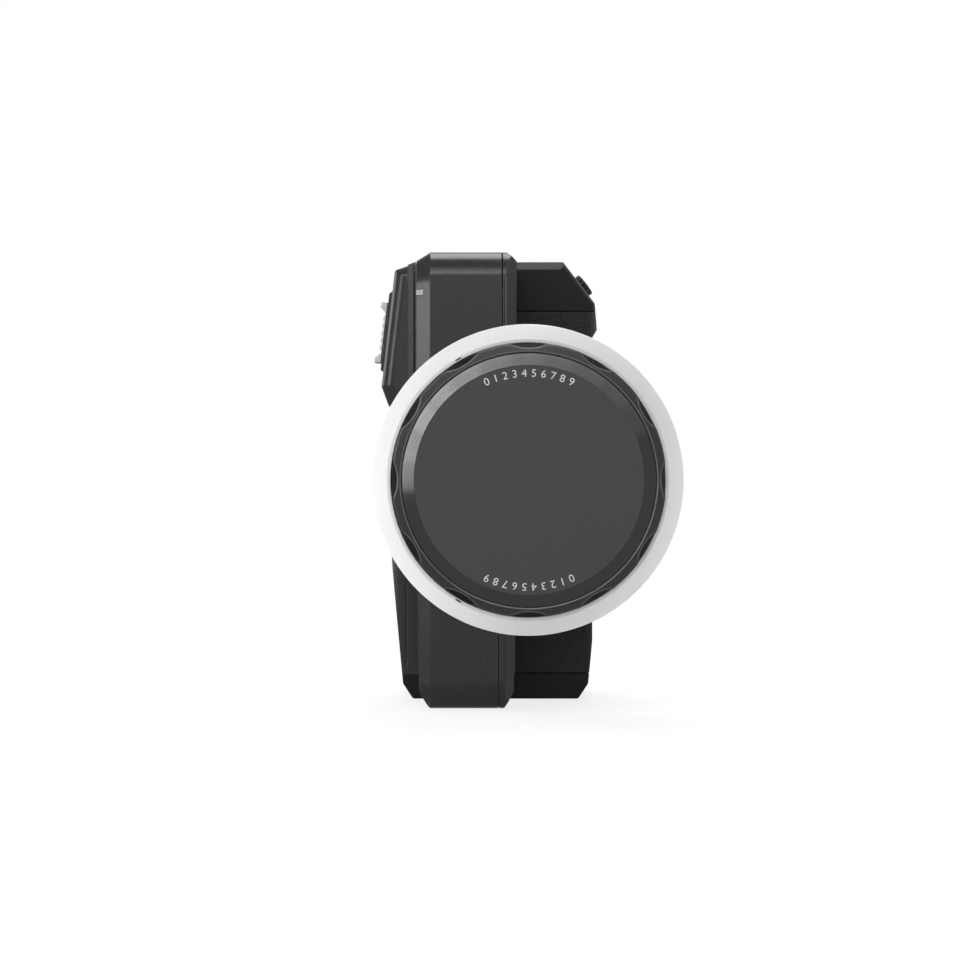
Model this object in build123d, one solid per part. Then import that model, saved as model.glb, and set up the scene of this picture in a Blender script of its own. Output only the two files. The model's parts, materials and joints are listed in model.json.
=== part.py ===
from build123d import *
import math
import os

# A focus demand for one hand: a large focus knob on a narrow spine, with a grip behind it.
# Millimetres. X points to the finger side, Y away from the knob's face, Z up.
# The origin is the mouth of the tripod thread in the middle of the base.

# Overall sizes
body_height = 127.0
grip_depth = 44.0
spine_depth = 39.5
socket_setback = 14.5
knob_offset = 8.5
wall = 2.2
rubber_thickness = 2.0
seam_gap = 0.3
press_gap = 0.02
overrun = 5.0
half_share = 0.5

# Spine: the upright housing behind the knob, with bevels down both sides of its front panel
spine_left = 22.2
spine_right = 5.7
left_bevel = 3.9
right_bevel = 3.2
left_bevel_depth = 2.4
right_bevel_depth = 8.0
bevel_round = 0.8
foot_taper = 0.8
top_corner_width = 3.0
top_corner_height = 2.6
foot_corner_width = 2.8
foot_corner_height = 5.0
top_round = 9.2
foot_round = 7.4
cover_depth = 10.0
upper_seam_inset = 1.0
lower_seam_inset = 2.0
index_width = 2.0
index_height = 1.5
index_drop = 12.4

# Grip: base cap, rubber-wrapped middle and top cap
left_swell = 6.3
right_swell = 4.1
base_flare = 2.9
base_bevel_height = 4.4
base_edge_round = 1.0
base_cap_height = 7.3
side_blend = 20.0
right_full_height = 16.9
left_full_height = 40.2
ledge_reach = 1.45
ledge_drop = 5.4
ledge_foot_drop = 7.7
ledge_round = 0.8
top_cap_height = 14.4
cap_reach = 0.75
slope_foot = 2.5
slope_width = 9.1
slope_round = 1.4
near_chamfer = 2.4
near_left_round = 5.0
near_right_round = 3.2
back_round = 19.0
back_edge_round = 6.0
pad_edge = 4.5
pad_cut_width = 1.8
pad_cut_height = 3.0
wire_hole_radius = 2.4

# Operator-side housing on the upper left
thumb_top_drop = 2.5
thumb_reach_high = 6.26
thumb_face_drop = 4.6
thumb_reach_low = 10.0
thumb_face_rise = 32.7
thumb_chin_inset = 1.8
thumb_chin_drop = 4.9
thumb_foot_inset = 4.4
thumb_foot_drop = 4.6
thumb_tail = 10.3
thumb_wall = 2.0
thumb_edge_round = 4.0
thumb_corner_round = 1.2
cove_reach = 2.2
cove_share = 0.3

# Slider on the operator-side face
slider_gap = 12.5
slider_rise = 0.95
slider_travel = 3.0
slider_plate_width = 10.0
slider_plate_length = 26.4
slider_plate_thickness = 2.6
slider_plate_rise = 1.0
plate_slope_high = 2.6
plate_slope_low = 1.0
slider_length = 18.1
slider_width = 8.0
slider_lift = 0.2
saddle_height = 0.5
horn_height = 2.0
horn_tip = 1.5
horn_length = 3.6
slider_teeth = 5
slider_tooth_height = 0.4
stem_width = 3.0
stem_length = 6.0
slot_room = 0.5
carriage_width = 7.2
carriage_length = 8.0
carriage_gap = 0.5
carriage_height = 3.7
rod_radius = 1.0
rod_room = 0.06
rib_thickness = 2.0
rib_reach = 11.0
rib_margin = 0.1
spring_leaf = 0.7
spring_width = 1.6
spring_fold = 1.1
spring_bends = 7
spring_end_gap = 0.1
tooth_flat_shares = (0.3, 0.7)

# Display and keys on the operator-side face
display_margin = 5.7
display_width = 28.0
display_height = 27.0
glass_thickness = 1.1
glass_sink = 0.1
glass_gap = 0.15
display_frame = 2.6
module_thickness = 3.2
module_gap = 0.2
board_thickness = 1.2
key_gap = 5.5
key_pitch = 9.0
key_count = 3
key_radius = 2.6
key_room = 0.3
key_rise = 0.35
key_flange = 0.6
key_flange_thickness = 0.8
key_travel = 0.7
key_slack = 0.12
switch_size = 4.4
post_width = 2.0
post_edge = 1.2

# Index-finger button in the top cap's slope
trigger_y = 4.0
trigger_low = 1.0
trigger_radius = 3.4
trigger_room = 0.3
trigger_rise = 2.5
trigger_dish = 0.5
trigger_rim = 0.8
trigger_edge = 0.3
trigger_flange = 0.8
trigger_flange_thickness = 0.9
trigger_travel = 1.0
trigger_slack = 0.15
trigger_board_width = 13.6
trigger_board_height = 11.0
trigger_switch_size = 6.0
trigger_switch_height = 0.8

# Pedestal: round drum that carries the knob beside the spine
drum_room = 2.0
pedestal_wall = 2.4
stop_cover = 3.5
skirt_depth = 16.0
skirt_round = 5.0
stop_reach = 1.5
stop_height = 2.6
stop_margin = 0.5
stop_pin_radius = 1.2
stop_pin_length = 3.0
stop_pin_gap = 0.5
knob_turn = 240.0
knob_mark_angle = 240.0

# Knob, heights measured from the spine's panel
knob_radius = 36.6
knob_height = 28.0
knob_lift = 4.9
knob_wall = 3.6
rotor_step_width = 1.0
rotor_ledge = 0.8
flute_count = 12
flute_radius = 13.0
flute_depth = 1.6
flute_tilt = 15.0
rim_fall = 0.6
rim_corner = 0.4
rim_drop = 1.6
rim_width = 2.8
face_gap = 0.25
face_thickness = 2.2
face_bevel_width = 3.25
face_bevel_drop = 1.7
web_thickness = 1.6

# Marking ring on the knob's flange
ring_room = 1.0
ring_width = 4.9
ring_fit = 0.15
ring_lip_height = 3.9
ring_lip_width = 0.8
ring_lip_drop = 0.5
ring_cone_drop = 3.0
ring_edge = 0.6
flange_reach = 2.0
flange_thickness = 2.2
ring_magnet_size = 1.4
ring_magnet_depth = 1.2
ring_magnet_count = 6

# Shaft, bearings and their tube
shaft_radius = 5.0
hub_radius = 11.0
hub_thickness = 1.5
bearing_radius = 11.0
bearing_width = 4.0
bearing_rim = 2.6
bearing_split = 0.2
bearing_rear_room = 0.8
bearing_front_room = 0.3
bearing_shoulder = 1.5
tube_wall = 1.8
tube_flange_reach = 4.4
tube_flange_thickness = 2.2
tube_top_room = 0.4

# Drag motor and encoder
tooth_count = 9
stator_core = 2.8
stator_gap = 0.5
stator_inset = 1.0
tooth_neck = 4.6
tooth_tip_gap = 5.0
tooth_tip_thickness = 1.8
coil_wall = 1.8
coil_gap = 0.1
magnet_count = 12
magnet_thickness = 2.0
magnet_gap = 3.3
yoke_thickness = 2.3
rotor_gap = 1.6
rotor_front_room = 1.2
encoder_magnet_radius = 3.5
encoder_magnet_height = 1.6
encoder_gap = 0.6
encoder_board_room = 1.0
encoder_board_thickness = 1.0
encoder_chip = 5.0
encoder_chip_height = 0.6
motor_board_width = 14.0
motor_board_height = 22.0
motor_board_inset = 2.0

# Boards, cells and charging socket inside the body
main_board_margin = 2.4
main_board_foot = 14.0
main_board_head = 17.0
board_standoff = 5.0
standoff_width = 4.4
standoff_edge = 4.0
chip_size = 10.0
chip_height = 1.6
chip_count = 3
can_width = 14.0
can_length = 18.0
can_height = 2.8
cell_radius = 9.2
cell_length = 65.0
cell_gap = 1.2
cell_setback = 4.2
cell_margin = 5.0
tray_floor = 2.0
tray_wall = 1.8
tray_height = 44.0
tray_gap = 0.1
tray_margin = 1.0
link_width = 8.0
link_thickness = 0.5
port_z = 30.0
port_setback = 17.5
port_width = 9.6
port_height = 3.9
port_depth = 7.2
port_wall = 0.4
port_sink = 0.6
port_tongue_thickness = 0.8
port_tongue_width = 6.7
port_tongue_sink = 0.7
port_room = 0.15
port_shelf = 1.6

# Base thread and screw holes
thread_radius = 3.175
insert_cover = 1.1
insert_wall = 2.0
base_screw_edge = 1.6
base_screw_near = 10.0
base_screw_back_edge = 6.6
base_screw_back = 9.1
base_boss_radius = 3.2
base_boss_height = 11.0
base_screw_sink = 0.4
screw_room = 0.1
screw_head_radius = 2.3
screw_head_height = 1.7

# Places that follow from the sizes
grip_near = -socket_setback
grip_back = grip_near + grip_depth
panel_y = grip_near - spine_depth
cover_back = panel_y + cover_depth
knob_z = body_height * half_share
cell_spread = cell_radius + cell_gap * half_share
base_half = cell_spread + cell_radius + cell_margin
grip_left = base_half + left_swell
grip_right = base_half + right_swell
panel_left = -spine_left + left_bevel
panel_right = spine_right - right_bevel
upper_seam = panel_right - upper_seam_inset
lower_seam = panel_right - lower_seam_inset
cap_z = body_height - top_cap_height
cap_side = grip_right + cap_reach
ledge_side = grip_right + ledge_reach
core_inset = rubber_thickness + wall
cell_y = grip_near + core_inset + tray_gap + tray_wall + cell_setback + cell_radius
thread_depth = base_cap_height - insert_cover
thumb_top = body_height - thumb_top_drop
thumb_face_top = body_height - thumb_face_drop
thumb_face_foot = thumb_face_top - thumb_face_rise
thumb_chin = thumb_face_foot - thumb_chin_drop
thumb_foot = thumb_chin - thumb_foot_drop
thumb_near = cover_back + seam_gap
thumb_out_high = spine_left + thumb_reach_high
thumb_out_low = spine_left + thumb_reach_low
display_y = thumb_near + display_margin + display_width * half_share
key_y = display_y + display_width * half_share + key_gap
slider_y = key_y + slider_gap
thumb_back = slider_y + thumb_tail
rod_depth = thumb_wall + carriage_gap + carriage_height * half_share
rib_depth = thumb_wall + carriage_gap + carriage_height + rib_margin
main_board_length = body_height - main_board_foot - main_board_head

# Radii and heights about the knob's axis
knob_bore = knob_radius - knob_wall
rotor_bore = knob_bore - rotor_step_width
face_radius = knob_radius - rim_width
pedestal_radius = knob_bore - drum_room
ring_bore = knob_radius + ring_room
flange_radius = ring_bore + flange_reach
ring_radius = ring_bore + ring_width
tube_radius = bearing_radius + tube_wall
tube_flange_radius = tube_radius + tube_flange_reach
ring_seat = knob_lift + flange_thickness
web_front = knob_height - face_thickness
web_rear = web_front - web_thickness
rim_top = knob_height - rim_drop
pedestal_height = knob_lift + stop_cover
rotor_foot = pedestal_height + rotor_gap
rotor_step = rotor_foot - rotor_ledge
rotor_height = web_rear - rotor_front_room - rotor_foot
stator_height = rotor_height - stator_inset / half_share
encoder_top = pedestal_wall + encoder_board_thickness + encoder_chip_height
shaft_rear = encoder_top + encoder_gap + encoder_magnet_height
tube_top = web_rear - hub_thickness - tube_top_room
lower_bearing = shaft_rear + bearing_rear_room
upper_bearing = tube_top - bearing_front_room - bearing_width

# Local frames: the knob's axis, the operator-side face and the slope with the index-finger button
upright = (Align.CENTER, Align.CENTER, Align.MIN)
corner = (Align.MIN, Align.MIN, Align.MIN)
knob_frame = Plane(origin=(knob_offset, panel_y, knob_z), x_dir=(1, 0, 0), z_dir=(0, -1, 0))

thumb_middle_x = -(thumb_out_high + thumb_out_low) * half_share
thumb_middle_z = (thumb_face_top + thumb_face_foot) * half_share
thumb_normal = (-thumb_face_rise, 0, thumb_out_low - thumb_out_high)
thumb_frame = Plane(origin=(thumb_middle_x, 0, thumb_middle_z), x_dir=(0, -1, 0), z_dir=thumb_normal)
slider_frame = thumb_frame * Pos(-slider_y, slider_rise, 0)

slope_rise = body_height - cap_z - slope_foot
slope_middle = (cap_side - slope_width * half_share, trigger_y, body_height - slope_rise * half_share)
slope_frame = Plane(origin=slope_middle, x_dir=(0, 1, 0), z_dir=(slope_rise, 0, slope_width))
trigger_frame = slope_frame * Pos(0, -trigger_low, 0)


# Boxes, prisms and turned shapes
def span(x_low, x_high, y_low, y_high, z_low, z_high):
    block = Box(x_high - x_low, y_high - y_low, z_high - z_low, align=corner)
    return Pos(x_low, y_low, z_low) * block


def outline(points, radii=0):
    return make_face(FilletPolyline(*points, radius=radii, close=True))


def front_prism(face, near, far):
    plane = Plane(origin=(0, far, 0), x_dir=(1, 0, 0), z_dir=(0, -1, 0))
    return extrude(plane * face, amount=far - near, dir=(0, -1, 0))


def plan_prism(face, low, high):
    return extrude(Pos(0, 0, low) * face, amount=high - low, dir=(0, 0, 1))


def side_prism(face, left, right):
    plane = Plane(origin=(left, 0, 0), x_dir=(0, 1, 0), z_dir=(1, 0, 0))
    return extrude(plane * face, amount=right - left, dir=(1, 0, 0))


def post(radius, low, high):
    return Pos(0, 0, low) * Cylinder(radius, high - low, align=upright)


def ring(inner, outer, low, high):
    return post(outer, low, high) - post(inner, low - overrun, high + overrun)


def turned(points, radii=0, turn=360.0):
    return revolve(Plane.XZ * outline(points, radii), axis=Axis.Z, revolution_arc=turn)


def plate(width, height, low, high):
    return Pos(0, 0, low) * Box(width, height, high - low, align=upright)


def around(count, shape):
    return [Rot(0, 0, turn * 360.0 / count) * shape for turn in range(count)]


def together(shapes):
    return Compound(children=[solid for shape in shapes for solid in shape.solids()])


# Spine: front outline, plan and side outline meet in one block, which the covers and the housing share
def spine_block():
    front_points = [
        (-spine_left + foot_taper + foot_corner_width, 0),
        (spine_right - foot_taper - foot_corner_width, 0),
        (spine_right - foot_taper, foot_corner_height),
        (spine_right, knob_z),
        (spine_right, body_height - top_corner_height),
        (spine_right - top_corner_width, body_height),
        (-spine_left, body_height),
        (-spine_left, knob_z),
        (-spine_left + foot_taper, foot_corner_height),
    ]
    plan_points = [
        (-spine_left, grip_near),
        (-spine_left, panel_y),
        (panel_right, panel_y),
        (spine_right, panel_y + right_bevel_depth),
        (spine_right, grip_near),
    ]
    back = grip_near + left_bevel_depth + overrun
    side_points = [(panel_y, 0), (back, 0), (back, body_height), (panel_y, body_height)]
    profile = outline(side_points, [foot_round, 0, 0, top_round])
    bevel_plane = Plane(origin=(panel_left, 0, 0), x_dir=(0, 1, 0), z_dir=(1, 0, 0))
    bevel_taper = math.degrees(math.atan2(left_bevel_depth, left_bevel))
    bevelled = extrude(bevel_plane * profile, amount=-left_bevel, taper=bevel_taper)
    front = front_prism(outline(front_points), panel_y, grip_near)
    plan = plan_prism(outline(plan_points, [0, 0, bevel_round, bevel_round, 0]), 0, body_height)
    return front & plan & (side_prism(profile, panel_left, spine_right) + bevelled)


spine = spine_block()


def cover_zone(seam, low, high):
    return span(-spine_left - overrun, seam, panel_y - overrun, cover_back, low, high)


def cover_hollow(seam, low, high):
    side_x = -spine_left + foot_taper + wall
    points = [
        (panel_left + wall, panel_y + wall),
        (side_x, panel_y + wall + left_bevel_depth),
        (side_x, cover_back + overrun),
        (seam - wall, cover_back + overrun),
        (seam - wall, panel_y + wall),
    ]
    return plan_prism(outline(points), low, high)


def index_zone():
    low = body_height - index_drop
    left = -spine_left - overrun
    return span(left, -spine_left + index_width, panel_y, cover_back - wall, low, low + index_height)


def cover(seam, low, high, hollow_low, hollow_high):
    return spine & cover_zone(seam, low, high) - cover_hollow(seam, hollow_low, hollow_high)


def upper_cover():
    low = knob_z + seam_gap * half_share
    hollow_top = body_height - top_round - wall
    return cover(upper_seam, low, body_height + overrun, low + wall, hollow_top) - index_zone()


def lower_cover():
    high = knob_z - seam_gap * half_share
    return cover(lower_seam, -overrun, high, foot_round + wall, high - wall)


# Grip: one block, cut into base cap, rubber wrap, core and top cap
def grip_front(inset):
    points = [
        (base_half, 0),
        (base_half + base_flare, base_bevel_height),
        (grip_right, right_full_height),
        (grip_right, cap_z - ledge_foot_drop),
        (ledge_side, cap_z - ledge_drop),
        (cap_side, cap_z + slope_foot),
        (cap_side - slope_width, body_height),
        (-spine_left, body_height),
        (-spine_left, thumb_foot),
        (-grip_left, thumb_foot),
        (-grip_left, left_full_height),
        (-base_half - base_flare, base_bevel_height),
        (-base_half, 0),
    ]
    if inset:
        return offset(outline(points), amount=-inset, kind=Kind.INTERSECTION)
    right_radii = [base_edge_round, base_edge_round, side_blend, ledge_round, ledge_round, slope_round]
    left_radii = [slope_round, 0, 0, ledge_round, side_blend, base_edge_round, base_edge_round]
    return outline(points, right_radii + left_radii)


def grip_block(front_inset, plan_inset, low, high):
    left, right = -grip_left + plan_inset, ledge_side - plan_inset
    near, back = grip_near + plan_inset, grip_back - plan_inset
    rounds = [near_left_round, near_right_round, back_round, back_round]
    radii = [max(radius - plan_inset, 0) for radius in rounds]
    plan = outline([(left, near), (right, near), (right, back), (left, back)], radii)
    side_points = [(near, 0), (back, 0), (back, body_height), (near, body_height)]
    side = outline(side_points, [0, back_edge_round, back_edge_round, 0])
    front = front_prism(grip_front(front_inset), grip_near, grip_back)
    return front & plan_prism(plan, low, high) & side_prism(side, -grip_left, ledge_side)


def core_block():
    body = grip_block(rubber_thickness, rubber_thickness, base_cap_height, cap_z)
    skin = grip_block(0, 0, base_cap_height, cap_z)
    pad_x = -grip_left + pad_edge
    near_points = [
        (pad_x - pad_cut_width, base_cap_height),
        (spine_right, base_cap_height),
        (spine_right, cap_z),
        (pad_x, cap_z),
        (pad_x, base_cap_height + pad_cut_height),
    ]
    near_plate = skin & front_prism(outline(near_points), grip_near, grip_near + rubber_thickness)
    side_x = -spine_left + rubber_thickness
    side_plate = skin & span(-spine_left, side_x, grip_near, thumb_back, thumb_foot, cap_z)
    return body + near_plate + side_plate


core = core_block()


def base_screw_spots():
    near_x, near_y = base_half - base_screw_edge, grip_near + base_screw_near
    back_x, back_y = base_half - base_screw_back_edge, grip_back - base_screw_back
    near = [Pos(side * near_x, near_y, 0) for side in (-1, 1)]
    back = [Pos(side * back_x, back_y, 0) for side in (-1, 1)]
    return near + back


def side_wire_hole():
    middle_y = panel_y + (right_bevel_depth + skirt_depth - pedestal_wall) * half_share
    tunnel = Cylinder(wire_hole_radius, (pedestal_wall + wall + seam_gap) / half_share)
    return Pos(spine_right, middle_y, knob_z) * Rot(0, 90, 0) * tunnel


def port_plane():
    mouth = (-spine_left + foot_taper + port_sink, grip_near - port_setback, port_z)
    return Plane(origin=mouth, x_dir=(0, -1, 0), z_dir=(-1, 0, 0))


def main_board_box():
    left = -spine_left + foot_taper + wall + main_board_margin
    right = spine_right - wall - main_board_margin
    back = grip_near - wall - board_standoff
    return left, right, back


def standoffs():
    left, right, back = main_board_box()
    low = main_board_foot + standoff_edge
    high = main_board_foot + main_board_length - standoff_edge
    edge = standoff_width * half_share + seam_gap
    spots = [(x, z) for x in (left + edge, right - edge) for z in (low, high)]
    stud = Rot(90, 0, 0) * plate(standoff_width, standoff_width, 0, board_standoff)
    return [Pos(x, grip_near - wall, z) * stud for x, z in spots]


def main_housing():
    left, right = -spine_left - overrun, spine_right + overrun
    rear = spine - span(left, right, panel_y - overrun, cover_back, -overrun, body_height + overrun)
    upper_strip = spine & span(upper_seam + seam_gap, spine_right, panel_y, cover_back, knob_z, body_height)
    lower_strip = spine & span(lower_seam + seam_gap, spine_right, panel_y, cover_back, 0, knob_z)
    room_left = -spine_left + foot_taper + wall
    room_top = body_height - top_corner_height - wall
    room_right, room_back = spine_right - wall, grip_near - wall
    spine_room = span(room_left, room_right, cover_back, room_back, foot_corner_height, room_top)
    core_room = grip_block(core_inset, core_inset, base_cap_height - overrun, cap_z + overrun)
    boss_top = base_cap_height + base_boss_height
    boss = post(base_boss_radius, base_cap_height, boss_top)
    bosses = [core & spot * boss for spot in base_screw_spots()]
    shelf_top = port_z - port_height * half_share
    port_near = grip_near - port_setback - port_width * half_share
    port_far = port_near + port_width
    shelf = span(room_left, room_left + port_depth, port_near, port_far, shelf_top - port_shelf, shelf_top)
    shell = rear + upper_strip + lower_strip + core - spine_room - core_room
    shell = shell + bosses + standoffs() + shelf
    spine_middle = (spine_right - spine_left) * half_share
    tunnel_length = (core_inset + wall) / half_share
    tunnel = Rot(90, 0, 0) * Cylinder(wire_hole_radius, tunnel_length)
    tunnel = Pos(spine_middle, grip_near, knob_z) * tunnel
    mouth = SlotOverall(port_width + port_room / half_share, port_height + port_room / half_share)
    port_hole = extrude(port_plane() * mouth, amount=port_depth, both=True)
    return shell - tunnel - side_wire_hole() - port_hole


def grip_rubber():
    return grip_block(0, 0, base_cap_height + seam_gap, cap_z - seam_gap) - core


def base_cap():
    body = grip_block(0, 0, 0, base_cap_height)
    seat = base_screw_sink + screw_head_height
    sink = post(screw_head_radius + screw_room, -overrun, seat)
    sinks = [spot * sink for spot in base_screw_spots()]
    socket = post(thread_radius + insert_wall + press_gap, -overrun, thread_depth)
    return body - sinks - socket


def trigger_posts():
    x = trigger_board_width * half_share - post_edge
    y = trigger_board_height * half_share - post_edge
    depth = trigger_depths()[1] + trigger_switch_height
    stud = plate(post_width, post_width, -depth, -wall * half_share)
    return [trigger_frame * Pos(side * x, rise * y, 0) * stud for side in (-1, 1) for rise in (-1, 1)]


def trigger_depths():
    flange_top = wall + trigger_slack
    switch_top = flange_top + trigger_flange_thickness + trigger_travel + trigger_slack
    return flange_top, switch_top


def slope_edge():
    near = grip_near - slope_middle[1]
    length = ledge_side / half_share
    block = Pos(near, 0, 0) * plate(near_right_round / half_share, length, -near_right_round, overrun)
    bead = Rot(90, 0, 0) * Cylinder(near_right_round, length)
    return slope_frame * (block - Pos(near + near_right_round, 0, -near_right_round) * bead)


def top_cap():
    body = grip_block(0, 0, cap_z, body_height)
    room = grip_block(wall, core_inset, cap_z - overrun, body_height)
    edge_points = [
        (grip_near - overrun, body_height - near_chamfer - overrun),
        (grip_near + near_chamfer + overrun, body_height + overrun),
        (grip_near - overrun, body_height + overrun),
    ]
    edge_cut = side_prism(outline(edge_points), spine_right, ledge_side + overrun)
    board_foot = trigger_depths()[1] + trigger_switch_height + board_thickness + seam_gap
    pocket = trigger_frame * plate(trigger_board_width, trigger_board_height, -board_foot, -wall)
    hole = trigger_frame * post(trigger_radius + trigger_room, -core_inset, overrun)
    return body - room - pocket - edge_cut - slope_edge() + trigger_posts() - hole


# Operator-side housing
def thumb_points(inner_x):
    roof_slope = (thumb_top - thumb_face_top) / thumb_reach_high
    return [
        (inner_x, thumb_top + (inner_x + spine_left) * roof_slope),
        (-thumb_out_high, thumb_face_top),
        (-thumb_out_low, thumb_face_foot),
        (-thumb_out_low + thumb_chin_inset, thumb_chin),
        (-thumb_out_low + thumb_foot_inset, thumb_foot),
        (inner_x, thumb_foot),
    ]


def thumb_cove():
    near, side = thumb_near - cove_reach, -spine_left - seam_gap
    points = [
        (side - cove_reach, thumb_near),
        (side - cove_reach * cove_share, thumb_near - cove_reach * cove_share),
        (side, near),
        (side, thumb_near + thumb_wall),
        (side - cove_reach, thumb_near + thumb_wall),
    ]
    strip = plan_prism(outline(points), thumb_foot, thumb_top)
    return strip & front_prism(outline(thumb_points(-spine_left)), near, thumb_near + thumb_wall)


def slider_slot(low, high):
    length = stem_length + (slider_travel + slot_room) / half_share
    return plate(stem_width + slot_room / half_share, length, low, high)


def rod_ribs():
    rib = plate(carriage_width, rib_thickness, -rib_depth, -thumb_wall * half_share)
    middle = rib_reach + rib_thickness * half_share
    return [slider_frame * Pos(0, side * middle, 0) * rib for side in (-1, 1)]


def rod_bore(radius):
    length = rib_reach + rib_thickness
    return slider_frame * Pos(0, 0, -rod_depth) * Rot(90, 0, 0) * Cylinder(radius, length / half_share)


def key_spots():
    start = -key_pitch * (key_count - 1) * half_share
    return [Pos(-key_y, start + turn * key_pitch, 0) for turn in range(key_count)]


glass_floor = glass_thickness + glass_sink
board_top = glass_floor + module_thickness
display_spot = Pos(-display_y, 0, 0)
board_low = -key_y - switch_size
board_high = -display_y + display_width * half_share


def board_posts():
    rise = display_height * half_share - post_edge
    stud_top = -thumb_wall + (thumb_wall - glass_floor) * half_share
    stud = plate(post_width, post_width, -board_top, stud_top)
    spots = [(board_low + post_edge, -rise), (board_low + post_edge, rise)]
    spots += [(board_high - post_edge, -rise), (board_high - post_edge, rise)]
    return [thumb_frame * Pos(x, y, 0) * stud for x, y in spots]


def thumb_housing():
    radii = [0] + [thumb_corner_round] * 4 + [0]
    body = front_prism(outline(thumb_points(-spine_left), radii), thumb_near, thumb_back)
    long_edges = body.edges().filter_by(lambda edge: edge.length > thumb_face_rise * half_share)
    face_edges = long_edges.filter_by(lambda edge: edge.center().X < -thumb_out_high)
    slanted = face_edges.filter_by(lambda edge: abs(edge.tangent_at(half_share).Y) < half_share)
    body = fillet(slanted, thumb_edge_round)
    room_outline = outline(thumb_points(-spine_left + overrun))
    room_face = offset(room_outline, amount=-thumb_wall, kind=Kind.INTERSECTION)
    room = front_prism(room_face, thumb_near + thumb_wall, thumb_back - thumb_wall)
    glass_seat = plate(display_width + glass_gap / half_share, display_height + glass_gap / half_share,
                       -glass_floor, overrun)
    opening_width = display_width - display_frame / half_share
    opening_height = display_height - display_frame / half_share
    opening = plate(opening_width, opening_height, -board_top, overrun)
    body = body - room - thumb_frame * display_spot * glass_seat - thumb_frame * display_spot * opening
    body = body + rod_ribs() + board_posts() + thumb_cove()
    keyhole = post(key_radius + key_room, -thumb_wall - overrun * half_share, overrun)
    body = body - [thumb_frame * spot * keyhole for spot in key_spots()]
    body = body - slider_frame * slider_slot(-thumb_wall - seam_gap, overrun)
    return body - rod_bore(rod_radius + press_gap)


def slider_plate():
    low = slider_plate_rise - slider_plate_length * half_share
    high = low + slider_plate_length
    points = [
        (low, 0),
        (low + plate_slope_low, slider_plate_thickness),
        (high - plate_slope_high, slider_plate_thickness),
        (high, 0),
    ]
    strip = extrude(Plane.YZ * outline(points), amount=slider_plate_width * half_share, both=True)
    return slider_frame * (strip - slider_slot(-overrun, overrun))


def slider_cap():
    base = slider_plate_thickness + slider_lift
    half = slider_length * half_share
    saddle, horn = base + saddle_height, base + horn_height
    inner = half - horn_length
    pitch = inner / half_share / slider_teeth
    points = [(-half, base), (-half, horn), (-half + horn_tip, horn)]
    for turn in range(slider_teeth):
        start = -inner + turn * pitch
        points.append((start, saddle))
        points += [(start + share * pitch, saddle + slider_tooth_height) for share in tooth_flat_shares]
    points += [(inner, saddle), (half - horn_tip, horn), (half, horn), (half, base)]
    return slider_frame * extrude(Plane.YZ * outline(points), amount=slider_width * half_share, both=True)


def slider_carriage():
    top = -thumb_wall - carriage_gap
    block = plate(carriage_width, carriage_length, top - carriage_height, top)
    stem = plate(stem_width, stem_length, top, slider_plate_thickness + slider_lift)
    return slider_frame * (block + stem) - rod_bore(rod_radius + rod_room)


def slider_rod():
    return rod_bore(rod_radius)


def slider_springs():
    start = carriage_length * half_share + spring_end_gap
    length = rib_reach - spring_end_gap - start
    steps = range(spring_bends + 1)
    sway = [(start + length * step / spring_bends, spring_fold * (-1) ** step) for step in steps]
    upper = [(along, across + spring_leaf * half_share) for along, across in sway]
    lower = [(along, across - spring_leaf * half_share) for along, across in sway]
    leaf = extrude(Plane.YZ * outline(upper + lower[::-1]), amount=spring_width)
    side_x = rod_radius + rod_room + spring_end_gap
    pair = [Pos(side_x, 0, -rod_depth) * leaf, Rot(0, 0, 180) * Pos(side_x, 0, -rod_depth) * leaf]
    return together([slider_frame * spring for spring in pair])


def display_glass():
    glass = plate(display_width, display_height, -glass_floor, -glass_sink)
    return thumb_frame * display_spot * glass


def display_module():
    width = display_width - (display_frame + module_gap) / half_share
    height = display_height - (display_frame + module_gap) / half_share
    return thumb_frame * display_spot * plate(width, height, -board_top, -glass_floor)


def key_board():
    middle = (board_low + board_high) * half_share
    board = plate(board_high - board_low, display_height, -board_top - board_thickness, -board_top)
    return thumb_frame * Pos(middle, 0, 0) * board


def key_switches():
    top = thumb_wall + key_slack + key_flange_thickness + key_travel + key_slack
    body = plate(switch_size, switch_size, -board_top, -top)
    return together([thumb_frame * spot * body for spot in key_spots()])


def key(spot):
    flange_top = -thumb_wall - key_slack
    head = post(key_radius, flange_top, key_rise)
    flange = post(key_radius + key_flange, flange_top - key_flange_thickness, flange_top)
    return thumb_frame * spot * (head + flange)


# Index-finger button
def trigger_button():
    flange_top, _ = trigger_depths()
    flange_foot = flange_top + trigger_flange_thickness
    points = [
        (0, -flange_foot),
        (trigger_radius + trigger_flange, -flange_foot),
        (trigger_radius + trigger_flange, -flange_top),
        (trigger_radius, -flange_top),
        (trigger_radius, trigger_rise - trigger_edge),
        (trigger_radius - trigger_edge, trigger_rise),
        (trigger_radius - trigger_rim, trigger_rise),
        (0, trigger_rise - trigger_dish),
    ]
    return trigger_frame * turned(points)


def trigger_switch():
    top = trigger_depths()[1]
    size = trigger_switch_size
    return trigger_frame * plate(size, size, -top - trigger_switch_height, -top)


def trigger_board():
    top = trigger_depths()[1] + trigger_switch_height
    board = plate(trigger_board_width, trigger_board_height, -top - board_thickness, -top)
    return trigger_frame * board


# Pedestal and its back, which closes the drum beside the spine
side_face = spine_right - knob_offset


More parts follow.
